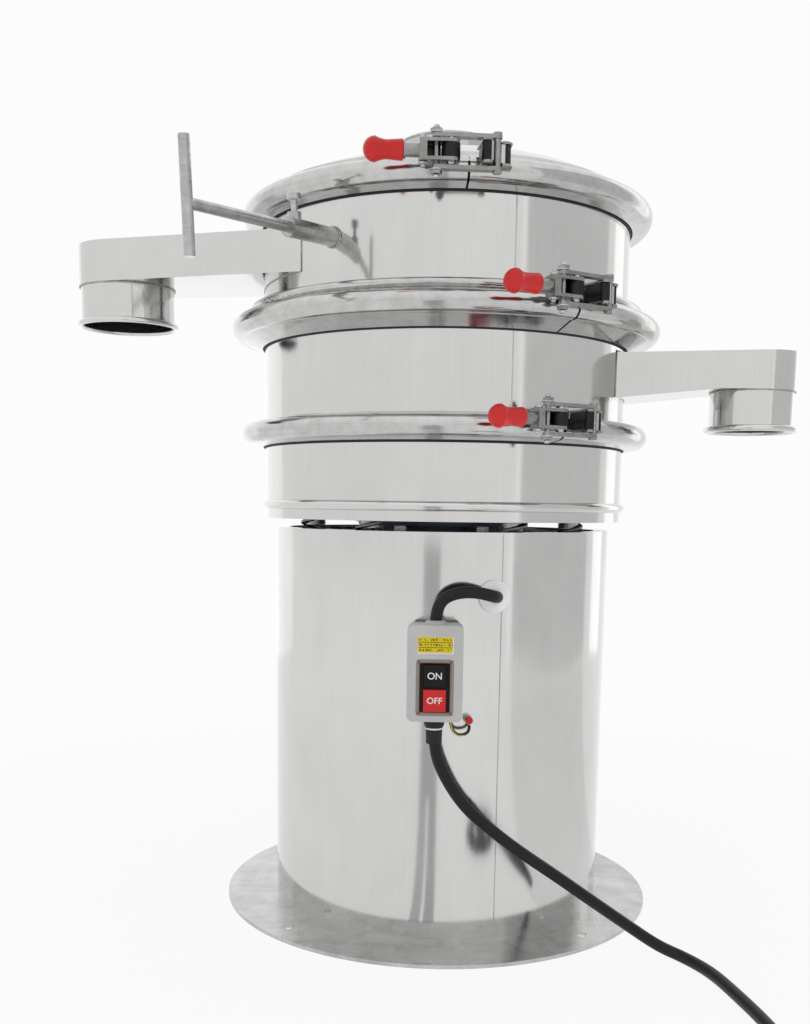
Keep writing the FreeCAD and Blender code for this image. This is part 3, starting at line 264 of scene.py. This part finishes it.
steel = (0.64, 0.638, 0.632)
materials = {
    "polished_sheet": makePolishedSheet("polishedSheet", steel),
    "base_sheet": makeMottledPlate("basePlateSheet", (0.60, 0.60, 0.595)),
    "inner_steel": makeMetal("innerSteel", (0.62, 0.62, 0.62)),
    "spring_steel": makeMetal("springSteel", (0.3, 0.31, 0.33), 0.3, 0.45),
    "woven_wire": makeMetal("wireCloth", (0.7, 0.7, 0.7), 0.3, 0.4),
    "motor_paint": makePlastic("motorPaint", (0.2, 0.28, 0.36), 0.4, 1200, 0.0002),
    "bolt_steel": makeMetal("boltSteel", (0.60, 0.60, 0.61), 0.14, 0.28),
    "weight_iron": makeMetal("weightIron", (0.25, 0.25, 0.26), 0.45, 0.6),
    "black_rubber": makePlastic("gasketRubber", (0.012, 0.012, 0.012), 0.65),
    "clamp_steel": makeMetal("clampSteel", (0.34, 0.335, 0.325), 0.12, 0.32, 260, depth=0.0012),
    "red_grip": makePlastic("redGrip", (0.64, 0.026, 0.027), 0.3, 500, 0.0002, 0.06, 0.2),
    "rod_steel": makeMetal("rodSteel", (0.50, 0.50, 0.495), 0.08, 0.2, 700, (0.05, 1, 1)),
    "box_plastic": makePlastic("boxPlastic", (0.53, 0.53, 0.525), 0.42, 1400, 0.00012),
    "bezel_plastic": makePlastic("bezelPlastic", (0.006, 0.006, 0.006), 0.4, sheen=0.2),
    "on_plastic": makePlastic("onButton", (0.006, 0.006, 0.006), 0.34, sheen=0.2),
    "off_plastic": makePlastic("offButton", (0.64, 0.028, 0.03), 0.34, sheen=0.2),
    "gland_plastic": makePlastic("glandNylon", (0.012, 0.012, 0.012), 0.5, sheen=0.3),
    "grommet_plastic": makePlastic("grommetPlastic", (0.94, 0.94, 0.94), 0.4),
    "cable_sheath": makePlastic("cableSheath", (0.009, 0.009, 0.009), 0.4, 1600, 0.00015, sheen=0.25),
    "plug_plastic": makePlastic("plugPlastic", (0.02, 0.02, 0.02), 0.5),
    "earth_brass": makeMetal("earthStud", (0.62, 0.6, 0.55)),
    "earth_sheath": makePlastic("earthSheath", (0.02, 0.02, 0.02), 0.4),
}
earthStripe = makeStripe()
brownLine = makePlastic("bezelLine", (0.33, 0.17, 0.11), 0.5)
whiteInk = makePlastic("whiteInk", (0.78, 0.78, 0.77), 0.5)
rimPlastic = makePlastic("bezelRimPlastic", (0.24, 0.235, 0.23), 0.4)
redCapPlastic = makePlastic("redCap", (0.62, 0.028, 0.03), 0.35, sheen=0.2)
# Near-black steel for the clamps' dark sheets: painted shade in the recesses of the hook, the pivot and the
# yoke
clampShadeSteel = makeMetal("clampShadeSteel", (0.035, 0.034, 0.033), 0.3, 0.5, 300)
spun = makeSpunSheet("spunSheet", (0.565, 0.562, 0.557))
weldMetal = makeWeldMetal()
labelFilm = makeLabel()
spunNodes = ("lower_band", "screen_band", "lid_band", "lid", "inlet_collar")

for part in frame["record"]["subparts"]:
    node = nodes[part["node"]]
    node.data.materials.clear()
    dressed = spun if part["node"] in spunNodes else materials[part["material_slot"]]
    node.data.materials.append(dressed.material)
print("materials assigned")


# Cords

glandX, glandY, bottom, lay = -3.8, -214, 244.5, 6.1
cordRoute = [(glandX, glandY, bottom), (glandX, glandY, 216), (6, -215.5, 189), (27, -217, 157.5),
             (54, -217.5, 134.5), (84, -216.5, 112), (119, -214, 88.5), (156, -210, 62),
             (198, -204, 32), (228, -203, 12), (252, -216, lay), (270, -250, lay),
             (281, -296, lay), (291, -345, lay), (298, -396, lay), (300, -432, lay)]
coil = {"centre": (228, -502), "rings": (72, 60, 66), "heights": (lay, lay, 16.4), "steps": 14}


def addSpline(name, points, radius, material):
    curve = bpy.data.curves.new(name, "CURVE")
    curve.dimensions = "3D"
    curve.bevel_depth, curve.bevel_resolution = radius * mm, 6
    curve.resolution_u = 8
    spline = curve.splines.new("NURBS")
    spline.points.add(len(points) - 1)
    for spot, point in zip(spline.points, points):
        spot.co = (*(mm * c for c in point), 1)
    spline.order_u = 3
    spline.use_endpoint_u = True
    piece = bpy.data.objects.new(name, curve)
    bpy.context.scene.collection.objects.link(piece)
    curve.materials.append(material.material)
    return piece


# Two rings side by side on the floor and a third on top of them.
def coilPoints():
    cx, cy = coil["centre"]
    points = []
    for step in range(coil["steps"] * 3 + 1):
        angle = -2 * math.pi * step / coil["steps"]
        turn = min(step // coil["steps"], 2)
        ring, height = coil["rings"][turn], coil["heights"][turn]
        points.append((cx + ring * math.cos(angle), cy + ring * math.sin(angle), height))
    return points


supplyCord = addSpline("supplyCord", cordRoute + coilPoints(), 6, materials["cable_sheath"])
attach(supplyCord, "base")
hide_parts("supply_cord", "cord_coil")

leadHeight = 363
leadBearing = math.radians(-73.5)
leadInside = ((90, 363), (114, 360), (140, 357), (166, 363), (213, 363))
leadRoute = [(r * math.cos(leadBearing), r * math.sin(leadBearing), z) for r, z in leadInside]
leadRoute += [(30, -216, 371), (6, glandY, 366), (glandX, glandY, 352.5), (glandX, glandY, 335.5)]
earthRoute = [(12, -207, bottom), (13, -207, 234), (19, -206, 227), (27, -202, 227),
              (31.6, -196, 230), (31.2, -191.4, 233.8)]
stripeRoute = [(x, y - 1.05, z - 0.75) for x, y, z in earthRoute[:-1]]


def addLead(name, points, radius, length, slot, *stands, pieces=()):
    lead = addSpline(name, points, radius, materials[slot])
    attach(lead, "base")
    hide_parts(*stands)
    [c * mm for c in points[0]]


addLead("motorLeadCable", leadRoute, 6, 0.197, "cable_sheath", "motor_lead")
stripe = addSpline("earthStripe", stripeRoute, 0.75, earthStripe)
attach(stripe, "base")
addLead("earthLead", earthRoute, 1.6, 0.038, "earth_sheath", "earth_wire", pieces=[stripe])
print("cords laid")


# The springs stand on the pedestal and carry the sieve; their coils are copied into a piece of their own

springNode = nodes["support_springs"]
springCoils = bpy.data.objects.new("springCoils", springNode.data.copy())
springCoils.data.transform(springNode.matrix_world)
bpy.context.scene.collection.objects.link(springCoils)
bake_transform(springCoils)
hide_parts("support_springs")


# New pieces: a primitive is shaped in a frame of its own and then laid in place, in millimetres

def finished(piece, name, place, material, body, smooth=35):
    piece.name = piece.data.name = name
    piece.data.transform(Matrix.Scale(mm, 4) @ place)
    piece.data.materials.clear()
    piece.data.materials.append(material.material)
    bpy.ops.object.select_all(action="DESELECT")
    piece.select_set(True)
    bpy.context.view_layer.objects.active = piece
    bpy.ops.object.shade_smooth_by_angle(angle=math.radians(smooth))
    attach(piece, body)


# Into edit mode with only the chosen elements selected.
def edit(kind, choose=None):
    mesh = bpy.context.object.data
    bpy.ops.object.mode_set(mode="EDIT")
    bpy.ops.mesh.select_mode(type=kind)
    bpy.ops.mesh.select_all(action="DESELECT")
    bpy.ops.object.mode_set(mode="OBJECT")
    for element in {"VERT": mesh.vertices, "EDGE": mesh.edges, "FACE": mesh.polygons}[kind]:
        element.select = choose is None or choose(mesh, element)
    bpy.ops.object.mode_set(mode="EDIT")


def leave():
    bpy.ops.object.mode_set(mode="OBJECT")
    return bpy.context.object


# Extrudes the flat face and turns every face outwards.
def thicken(thickness):
    edit("FACE")
    bpy.ops.mesh.extrude_region_move(TRANSFORM_OT_translate={"value": (0, 0, thickness)})
    bpy.ops.mesh.select_all(action="SELECT")
    bpy.ops.mesh.normals_make_consistent(inside=False)


def at(x, y, z, axis="Z"):
    turn = {"Z": Matrix(), "X": Matrix.Rotation(math.pi / 2, 4, "Y"),
            "Y": Matrix.Rotation(math.pi / 2, 4, "X")}[axis]
    return Matrix.Translation((x, y, z)) @ turn


# A place on the machine's round: its Z points away from the axis.
def outwards(bearing, reach, height, tilt=math.pi / 2):
    return (Matrix.Translation((reach * math.cos(bearing), reach * math.sin(bearing), height))
            @ Matrix.Rotation(bearing, 4, "Z") @ Matrix.Rotation(tilt, 4, "Y"))


def rimEdge(mesh, edge):
    a, b = (mesh.vertices[v].co for v in edge.vertices)
    return abs(a.z - b.z) < 1e-4


# A pin, nut or disc: a cylinder with its two rims bevelled.
def addRound(name, size, place, material, body):
    bpy.ops.object.select_all(action="DESELECT")
    bpy.ops.mesh.primitive_cylinder_add(vertices=size["sides"], radius=size["radius"],
                                        depth=size["length"], location=(0, 0, 0))
    edit("EDGE", rimEdge)
    bpy.ops.mesh.bevel(offset=size["bevel"], segments=size["segments"], affect="EDGES")
    finished(leave(), name, place, material, body)


# A flat plate: a disc's rim is laid along the outline, extruded and bevelled.
def addPlate(name, outline, size, place, material, body):
    bpy.ops.object.select_all(action="DESELECT")
    bpy.ops.mesh.primitive_circle_add(vertices=len(outline), radius=1, fill_type="NGON", location=(0, 0, 0))
    for vertex, (x, y) in zip(bpy.context.object.data.vertices, outline):
        vertex.co = (x, y, -size["thickness"] / 2)
    thicken(size["thickness"])
    leave()
    edit("EDGE", rimEdge)
    bpy.ops.mesh.bevel(offset=size["bevel"], segments=2, affect="EDGES")
    finished(leave(), name, place, material, body)


def arcPoints(centre, radius, start, end, count):
    steps = [math.radians(start + (end - start) * k / (count - 1)) for k in range(count)]
    return [(centre[0] + radius * math.cos(a), centre[1] + radius * math.sin(a)) for a in steps]


# Toggle clamps: in a clamp's own frame X runs along the band and Y points to the machine's axis

clamps = {"lower": (-58.7, 226, 533.5), "screen": (-57.5, 236, 650.5), "lid": (-85, 223, 765)}
pivot, drawPin, hookPin, yokeBolt = (-18, -14), (-31.2, -12.6), (23.7, -12), (-43, -14)

linkStud = {"radius": 2.7, "length": 3.4, "sides": 24, "bevel": 1.2, "segments": 4, "height": 21}
linkWasher = {"radius": 6.4, "length": 0.9, "sides": 36, "bevel": 0.2, "segments": 2, "height": 15.9}
yokeNut = {"radius": 4.3, "length": 2.3, "sides": 6, "bevel": 0.4, "segments": 3, "height": 10.65}
yokeStud = {"radius": 2.2, "length": 2.8, "sides": 24, "bevel": 1.0, "segments": 4, "height": 12.8}
gripCollar = {"radius": 7.4, "length": 2.2, "sides": 32, "bevel": 0.5, "segments": 3, "along": -59.8}

hookClaw = {"thickness": 2.6, "bevel": 0.7, "height": 9.5, "outline":
            [(7.5, 8.6), (38, 8.6), (38, -8), (34.6, -12.2), (28.4, -13.4)]
            + arcPoints(hookPin, 4.4, 0, 180, 9) + [(19.0, -19.6)]
            + arcPoints((14.2, -18.6), 5.0, -20, -190, 9)}
# Dark sheets in the hook, round the pivot and inside the yoke: painted shade, flat black plates standing
# where those recesses lie in shadow
hookShadeSheet = {"thickness": 15.9, "bevel": 0.2, "outline":
           [(9.3, 6), (9.3, -16.2)] + arcPoints((14.4, -16.8), 5.5, 185, 335, 9) + [(20.2, -13.4)]
           + arcPoints(hookPin, 3.75, 170, 10, 9) + [(33.4, -11.4), (36.4, -8.2), (36.4, 6)]}
pivotShadeSheet = {"thickness": 12.2, "bevel": 0.15, "outline":
              arcPoints(pivot, 8.25, 180, 360, 17) + [(-9.7, 2), (-26.3, 2)]}
yokeShadeSheet = {"thickness": 12.6, "bevel": 0.1, "outline":
             [(-39.9, -9.25), (-27.2, -9.25), (-27.2, -9.6), (-39.9, -9.6)]}


def addClampTrim(key, bearing, reach, height):
    turn = math.radians(bearing)
    clampPlace = (Matrix.Translation((reach * math.cos(turn), reach * math.sin(turn), height))
                  @ Matrix.Rotation(turn + math.pi / 2, 4, "Z"))
    bolt, clampSteel = materials["bolt_steel"], materials["clamp_steel"]
    handle, draw = key + "_handle", key + "_draw"
    sides = ((1, "Upper"), (-1, "Lower"))
    for name, size, spot, body in (("LinkStud", linkStud, drawPin, draw),
                                   ("LinkWasher", linkWasher, drawPin, draw),
                                   ("YokeNut", yokeNut, yokeBolt, handle),
                                   ("YokeStud", yokeStud, yokeBolt, handle)):
        for side, word in sides:
            addRound(key + name + word, size, clampPlace @ at(*spot, side * size["height"]),
                     bolt, body)
    for side, word in sides:
        addPlate(key + "HookClaw" + word, hookClaw["outline"], hookClaw,
                 clampPlace @ at(0, 0, side * hookClaw["height"]), clampSteel, "sieve")
    # The three dark sheets are painted shade of the clamp's recesses
    for name, size, body in (("HookShadeSheet", hookShadeSheet, "sieve"), ("PivotShadeSheet", pivotShadeSheet, "sieve"),
                             ("YokeShadeSheet", yokeShadeSheet, handle)):
        addPlate(key + name, size["outline"], size, clampPlace, clampShadeSteel, body)
    addRound(key + "GripCollar", gripCollar, clampPlace @ at(gripCollar["along"], pivot[1], 0, "X"),
             clampSteel, handle)


for key, spec in clamps.items():
    addClampTrim(key, *spec)
print("clamps trimmed")


# Switch box: low and high are corners, (x, z)

bezelRim = {"grow": 0.7, "corner": 4.2, "width": 3.6, "depth": 1.5, "back": 0.15}
bezelLine = {"grow": -1.7, "corner": 2.6, "width": 1.0, "depth": 0.3, "back": -1.25}
earthCap = {"radius": 3.7, "length": 5.4, "sides": 32, "bevel": 1.2, "segments": 4, "reach": 198.2,
            "height": 240, "bearing": math.radians(-81)}
glandRing = {"radius": 8.9, "length": 1.6, "sides": 40, "bevel": 0.5, "segments": 3, "height": 235.6}


def inMillimetres(node):
    return ([c / mm for c in corner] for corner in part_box(node))


def addRoundedFace(low, high, corner, segments):
    bpy.ops.object.select_all(action="DESELECT")
    bpy.ops.mesh.primitive_plane_add(size=1, location=(0, 0, 0))
    for vertex in bpy.context.object.data.vertices:
        vertex.co = (vertex.co.x * (high[0] - low[0]), vertex.co.y * (high[1] - low[1]), 0)
    edit("VERT")
    bpy.ops.mesh.bevel(offset=corner, segments=segments, affect="VERTICES")
    leave()


def facing(low, high, front):
    return at((low[0] + high[0]) / 2, front, (low[1] + high[1]) / 2, "Y")


# A rounded frame standing on the front of the box.
def addRing(name, low, high, size, front, material):
    low, high = [c - size["grow"] for c in low], [c + size["grow"] for c in high]
    addRoundedFace(low, high, size["corner"], 6)
    edit("FACE")
    bpy.ops.mesh.inset(thickness=size["width"])
    bpy.ops.mesh.delete(type="FACE")
    leave()
    thicken(size["depth"])
    bpy.ops.mesh.bevel(offset=size["depth"] * 0.3, segments=2, affect="EDGES")
    finished(leave(), name, facing(low, high, front + size["back"]), material, "base")


def addSticker(name, size, front, thickness, material):
    addRoundedFace(size["low"], size["high"], 0.5, 3)
    thicken(thickness)
    finished(leave(), name, facing(size["low"], size["high"], front), material, "base")


# A printed word in the middle of a key's face.
def addWord(word, node, height, body):
    low, high = inMillimetres(node)
    bpy.ops.object.select_all(action="DESELECT")
    bpy.ops.object.text_add(location=(0, 0, 0))
    text = bpy.context.object
    text.data.body = word
    text.data.align_x, text.data.align_y = "CENTER", "CENTER"
    text.data.size = height / 0.7
    text.data.offset = 0.12
    text.data.extrude = 0.06
    bpy.ops.object.convert(target="MESH")
    place = facing((low[0], low[2]), (high[0], high[2]), low[1] - 0.05)
    finished(bpy.context.object, "word" + word.capitalize(), place, whiteInk, body)


bezelLow, bezelHigh = inMillimetres("box_bezel")
coverFront = next(inMillimetres("box_cover"))[1]
low, high = (bezelLow[0], bezelLow[2]), (bezelHigh[0], bezelHigh[2])
addRing("bezelRim", low, high, bezelRim, bezelLow[1], rimPlastic)
addRing("bezelLine", low, high, bezelLine, bezelLow[1], brownLine)
addSticker("labelBacking", backing, coverFront - 0.02, 0.12, whiteInk)
addSticker("labelSheet", label, coverFront - 0.14, 0.1, labelFilm)
addWord("ON", "on_button", 6.4, "on_key")
addWord("OFF", "off_button", 6.0, "off_key")
addRound("earthCap", earthCap, outwards(earthCap["bearing"], earthCap["reach"], earthCap["height"]),
         redCapPlastic, "base")
addRound("glandRing", glandRing, at(glandX, glandY, glandRing["height"]),
         materials["grommet_plastic"], "base")
print("switch box dressed")


# Welds, seams, the grommet's lip and the plug's ribs

pipeWelds = {"oversizePipeWeld": (50.5, (-348, -34, 680.4)), "finesPipeWeld": (44.5, (334, -42, 576.4))}
rootWelds = {"oversizeRootWeld": (224, 180.6, 681, 723), "finesRootWeld": (333.5, 366.5, 567.6, 613.8)}
wallReach = 200.2
beadHalf = 0.9
grommetLip = {"radius": 12.6, "thickness": 2.0, "reach": 189.6}
sleeveWeld = {"radius": 9.3, "bearing": math.radians(-123.3), "reach": 200.6, "height": 707,
              "tilt": math.radians(93)}
seamBearing = math.radians(-70.9)
seams = (("drumSeam", 188.05, 24, 424, "base"), ("middleSeam", 200.05, 546, 634, "sieve"),
         ("topSeam", 200.05, 664, 752, "sieve"))
plugRibs = {"count": 4, "radius": 7.3, "growth": 0.28, "thickness": 0.8, "first": 3.5, "pitch": 4.2}


# A ring of weld: a torus whose section swells and shrinks along it.
def addBeadRing(name, radius, thickness, place, material, body, ripples=90, ripple=0.12):
    bpy.ops.object.select_all(action="DESELECT")
    bpy.ops.mesh.primitive_torus_add(major_radius=radius, minor_radius=thickness, major_segments=240,
                                     minor_segments=10, location=(0, 0, 0))
    piece = bpy.context.object
    for vertex in piece.data.vertices:
        turn = math.atan2(vertex.co.y, vertex.co.x)
        centre = Vector((radius * math.cos(turn), radius * math.sin(turn), 0))
        swell = 1 + ripple * math.sin(ripples * turn) + ripple * math.sin(17 * turn)
        vertex.co = centre + (vertex.co - centre) * swell
    finished(piece, name, place, material, body, 60)


def addBeadLine(name, points, radius, body, material, closed=False):
    curve = bpy.data.curves.new(name, "CURVE")
    curve.dimensions = "3D"
    curve.bevel_depth, curve.bevel_resolution = radius * mm, 3
    spline = curve.splines.new("POLY")
    spline.points.add(len(points) - 1)
    for spot, point in zip(spline.points, points):
        spot.co = (*(mm * c for c in point), 1)
    spline.use_cyclic_u = closed
    curve.materials.append(material.material)
    piece = bpy.data.objects.new(name, curve)
    bpy.context.scene.collection.objects.link(piece)
    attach(piece, body)


# Round the chute's root on the frame's wall.
def rootLoop(start, end, low, high):
    across = [math.radians(start + (end - start) * k / 10) for k in range(11)]
    loop = [(turn, low) for turn in across] + [(turn, high) for turn in reversed(across)]
    return [(wallReach * math.cos(turn), wallReach * math.sin(turn), z) for turn, z in loop]


for name, (radius, place) in pipeWelds.items():
    addBeadRing(name, radius, beadHalf, at(*place), weldMetal, "sieve")
for name, sector in rootWelds.items():
    addBeadLine(name, rootLoop(*sector), beadHalf, "sieve", weldMetal, closed=True)
addBeadRing("collarWeld", 64.2, 0.8, at(0, 0, 815.2), weldMetal, "sieve")
addBeadRing("grommetLip", grommetLip["radius"], grommetLip["thickness"],
            outwards(leadBearing, grommetLip["reach"], leadHeight),
            materials["grommet_plastic"], "base", 1, 0)
sleeveRoot = outwards(sleeveWeld["bearing"], sleeveWeld["reach"], sleeveWeld["height"], sleeveWeld["tilt"])
addBeadRing("sleeveWeld", sleeveWeld["radius"], 1.0, sleeveRoot, weldMetal, "sieve", 40)
for name, reach, low, high, body in seams:
    line = [(reach * math.cos(seamBearing), reach * math.sin(seamBearing), z) for z in (low, high)]
    addBeadLine(name, line, 0.6, body, spun)
plugLow, plugHigh = inMillimetres("mains_plug")
for step in range(plugRibs["count"]):
    place = at(plugHigh[0] - plugRibs["first"] - plugRibs["pitch"] * step,
               (plugLow[1] + plugHigh[1]) / 2, (plugLow[2] + plugHigh[2]) / 2, "X")
    addBeadRing("plugRib%d" % (step + 1), plugRibs["radius"] + plugRibs["growth"] * step,
                plugRibs["thickness"], place, materials["plug_plastic"], "base", 1, 0)
print("welds laid")


# Stage

def spreadOf(tree, value, fromLow, fromHigh, low, high):
    node = tree.nodes.new("ShaderNodeMapRange")
    tree.links.new(value, node.inputs[0])
    for index, number in enumerate((fromLow, fromHigh, low, high), 1):
        node.inputs[index].default_value = number
    return node.outputs[0]


# A sheet of white paper whose far part melts into the backdrop.
def addFloor():
    bpy.ops.object.select_all(action="DESELECT")
    bpy.ops.mesh.primitive_plane_add(size=14, location=(0, 0, 0))
    floor = bpy.context.object
    floor.name = "floor"
    m = Material("floorPaper")
    tree = m.material.node_tree
    m.set(color=(0.9, 0.9, 0.9), rough=0.9, sheen=0.05)
    length = tree.nodes.new("ShaderNodeVectorMath")
    length.operation = "LENGTH"
    tree.links.new(m.place.socket, length.inputs[0])
    path = tree.nodes.new("ShaderNodeLightPath")
    glossy = path.outputs["Is Glossy Ray"]
    bright = tree.nodes.new("ShaderNodeEmission")
    bright.inputs["Color"].default_value = (1, 1, 1, 1)
    seen = spreadOf(tree, glossy, 0, 1, stage["backdrop"], 0)
    mirrored = spreadOf(tree, length.outputs["Value"], 0.3, 1.1, stage["nearFloor"], stage["farFloor"])
    total = m.node("ShaderNodeMath", {"operation": "MULTIPLY_ADD"},
                   {0: Value(m, mirrored), 1: Value(m, glossy), 2: Value(m, seen)})
    tree.links.new(total.socket, bright.inputs["Strength"])
    mix = tree.nodes.new("ShaderNodeMixShader")
    tree.links.new(spreadOf(tree, length.outputs["Value"], 0.3, 1.3, 0.93, 1.0), mix.inputs[0])
    tree.links.new(m.shader.outputs[0], mix.inputs[1])
    tree.links.new(bright.outputs[0], mix.inputs[2])
    tree.links.new(mix.outputs[0], tree.nodes["Material Output"].inputs[0])
    floor.data.materials.append(m.material)


# White to the camera, soft light on the object, and a sky that is brighter overhead in mirrors.
def addWorld():
    world = bpy.data.worlds.new("studio")
    bpy.context.scene.world = world
    world.use_nodes = True
    tree = world.node_tree
    background = tree.nodes["Background"]
    path = tree.nodes.new("ShaderNodeLightPath")
    place = tree.nodes.new("ShaderNodeTexCoord")
    split = tree.nodes.new("ShaderNodeSeparateXYZ")
    tree.links.new(place.outputs["Generated"], split.inputs[0])
    overhead = spreadOf(tree, split.outputs[2], 0.1, 0.8, stage["horizon"], stage["overhead"])
    glossy, camera = path.outputs["Is Glossy Ray"], path.outputs["Is Camera Ray"]
    mix = tree.nodes.new("ShaderNodeMix")
    tree.links.new(glossy, mix.inputs[0])
    tree.links.new(spreadOf(tree, camera, 0, 1, stage["ambient"], stage["backdrop"]), mix.inputs[2])
    tree.links.new(overhead, mix.inputs[3])
    tree.links.new(mix.outputs[0], background.inputs["Strength"])
    background.inputs["Color"].default_value = (1, 1, 1, 1)


# A card only mirrors see, from one bearing to another; with a near edge it lies on the floor.
def addCard(name, start, end, low, high, level, distance=2.2, near=None):
    bpy.ops.object.select_all(action="DESELECT")
    bpy.ops.mesh.primitive_plane_add(size=1, location=(0, 0, 0))
    card = bpy.context.object
    card.name = name
    a, b = [Vector((math.sin(math.radians(turn)), -math.cos(math.radians(turn)), 0)) * distance
            for turn in (start, end)]
    for vertex in card.data.vertices:
        side = (a if vertex.co.x < 0 else b) * (near / distance if near and vertex.co.y < 0 else 1)
        vertex.co = (side.x, side.y, low if vertex.co.y < 0 or near else high)
    m = Material(name + "Paint")
    tree = m.material.node_tree
    bright = tree.nodes.new("ShaderNodeEmission")
    bright.inputs["Strength"].default_value = level
    tree.links.new(bright.outputs[0], tree.nodes["Material Output"].inputs[0])
    card.data.materials.append(m.material)
    card.visible_camera = card.visible_diffuse = card.visible_shadow = False
    card.visible_transmission = card.visible_volume_scatter = False


def addLamp(name, place, aim, size, power):
    data = bpy.data.lights.new(name, "AREA")
    data.shape, data.size, data.size_y, data.energy = "RECTANGLE", size[0], size[1], power
    lamp = bpy.data.objects.new(name, data)
    bpy.context.scene.collection.objects.link(lamp)
    lamp.location = place
    lamp.rotation_euler = (Vector(aim) - Vector(place)).to_track_quat("-Z", "Y").to_euler()
    lamp.visible_glossy = False


stage = {"backdrop": 0.975, "ambient": 0.5, "horizon": 0.98, "overhead": 1.15,
         "nearFloor": 1.0, "farFloor": 1.02}
addFloor()
addWorld()

# Bearings, low and high edge, level, distance and, for a card on the floor, its near edge
cards = {
    "greyCard": (47, 112, 0.02, 2.6, 0.72),
    "edgeCard": (44, 46.4, 0.02, 2.6, 1.2, 2.18),
    "brightCard": (121, 138, 0.02, 2.6, 1.5),
    "leftCard": (-178, -118, 0.02, 2.6, 1.2),
    "greyMat": (47, 112, 0.003, 0.003, 0.86, 2.18, 0.24),
    "darkStand": (-10.5, -0.5, 0.004, 0.37, 0.55, 1.6),
    "darkMat": (-10.5, -0.5, 0.004, 0.004, 0.52, 1.6, 0.75),
    "leftStrip": (-10.5, -6.3, 0.004, 0.004, 0.55, 0.75, 0.24),
    "rightStrip": (-4.9, -0.5, 0.004, 0.004, 0.5, 0.75, 0.24),
}
for name, edges in cards.items():
    addCard(name, *edges)
addLamp("keyLamp", (-1.5, -1.7, 2.0), (0, 0, 0.45), (1.2, 1.2), 12)
addLamp("fillLamp", (1.8, -1.4, 1.4), (0, 0, 0.45), (0.9, 1.6), 5)
addLamp("topLamp", (0, 0.4, 2.6), (0, 0, 0.5), (1.8, 1.8), 8)
bpy.context.scene.view_settings.view_transform = "Standard"
print("studio ready")
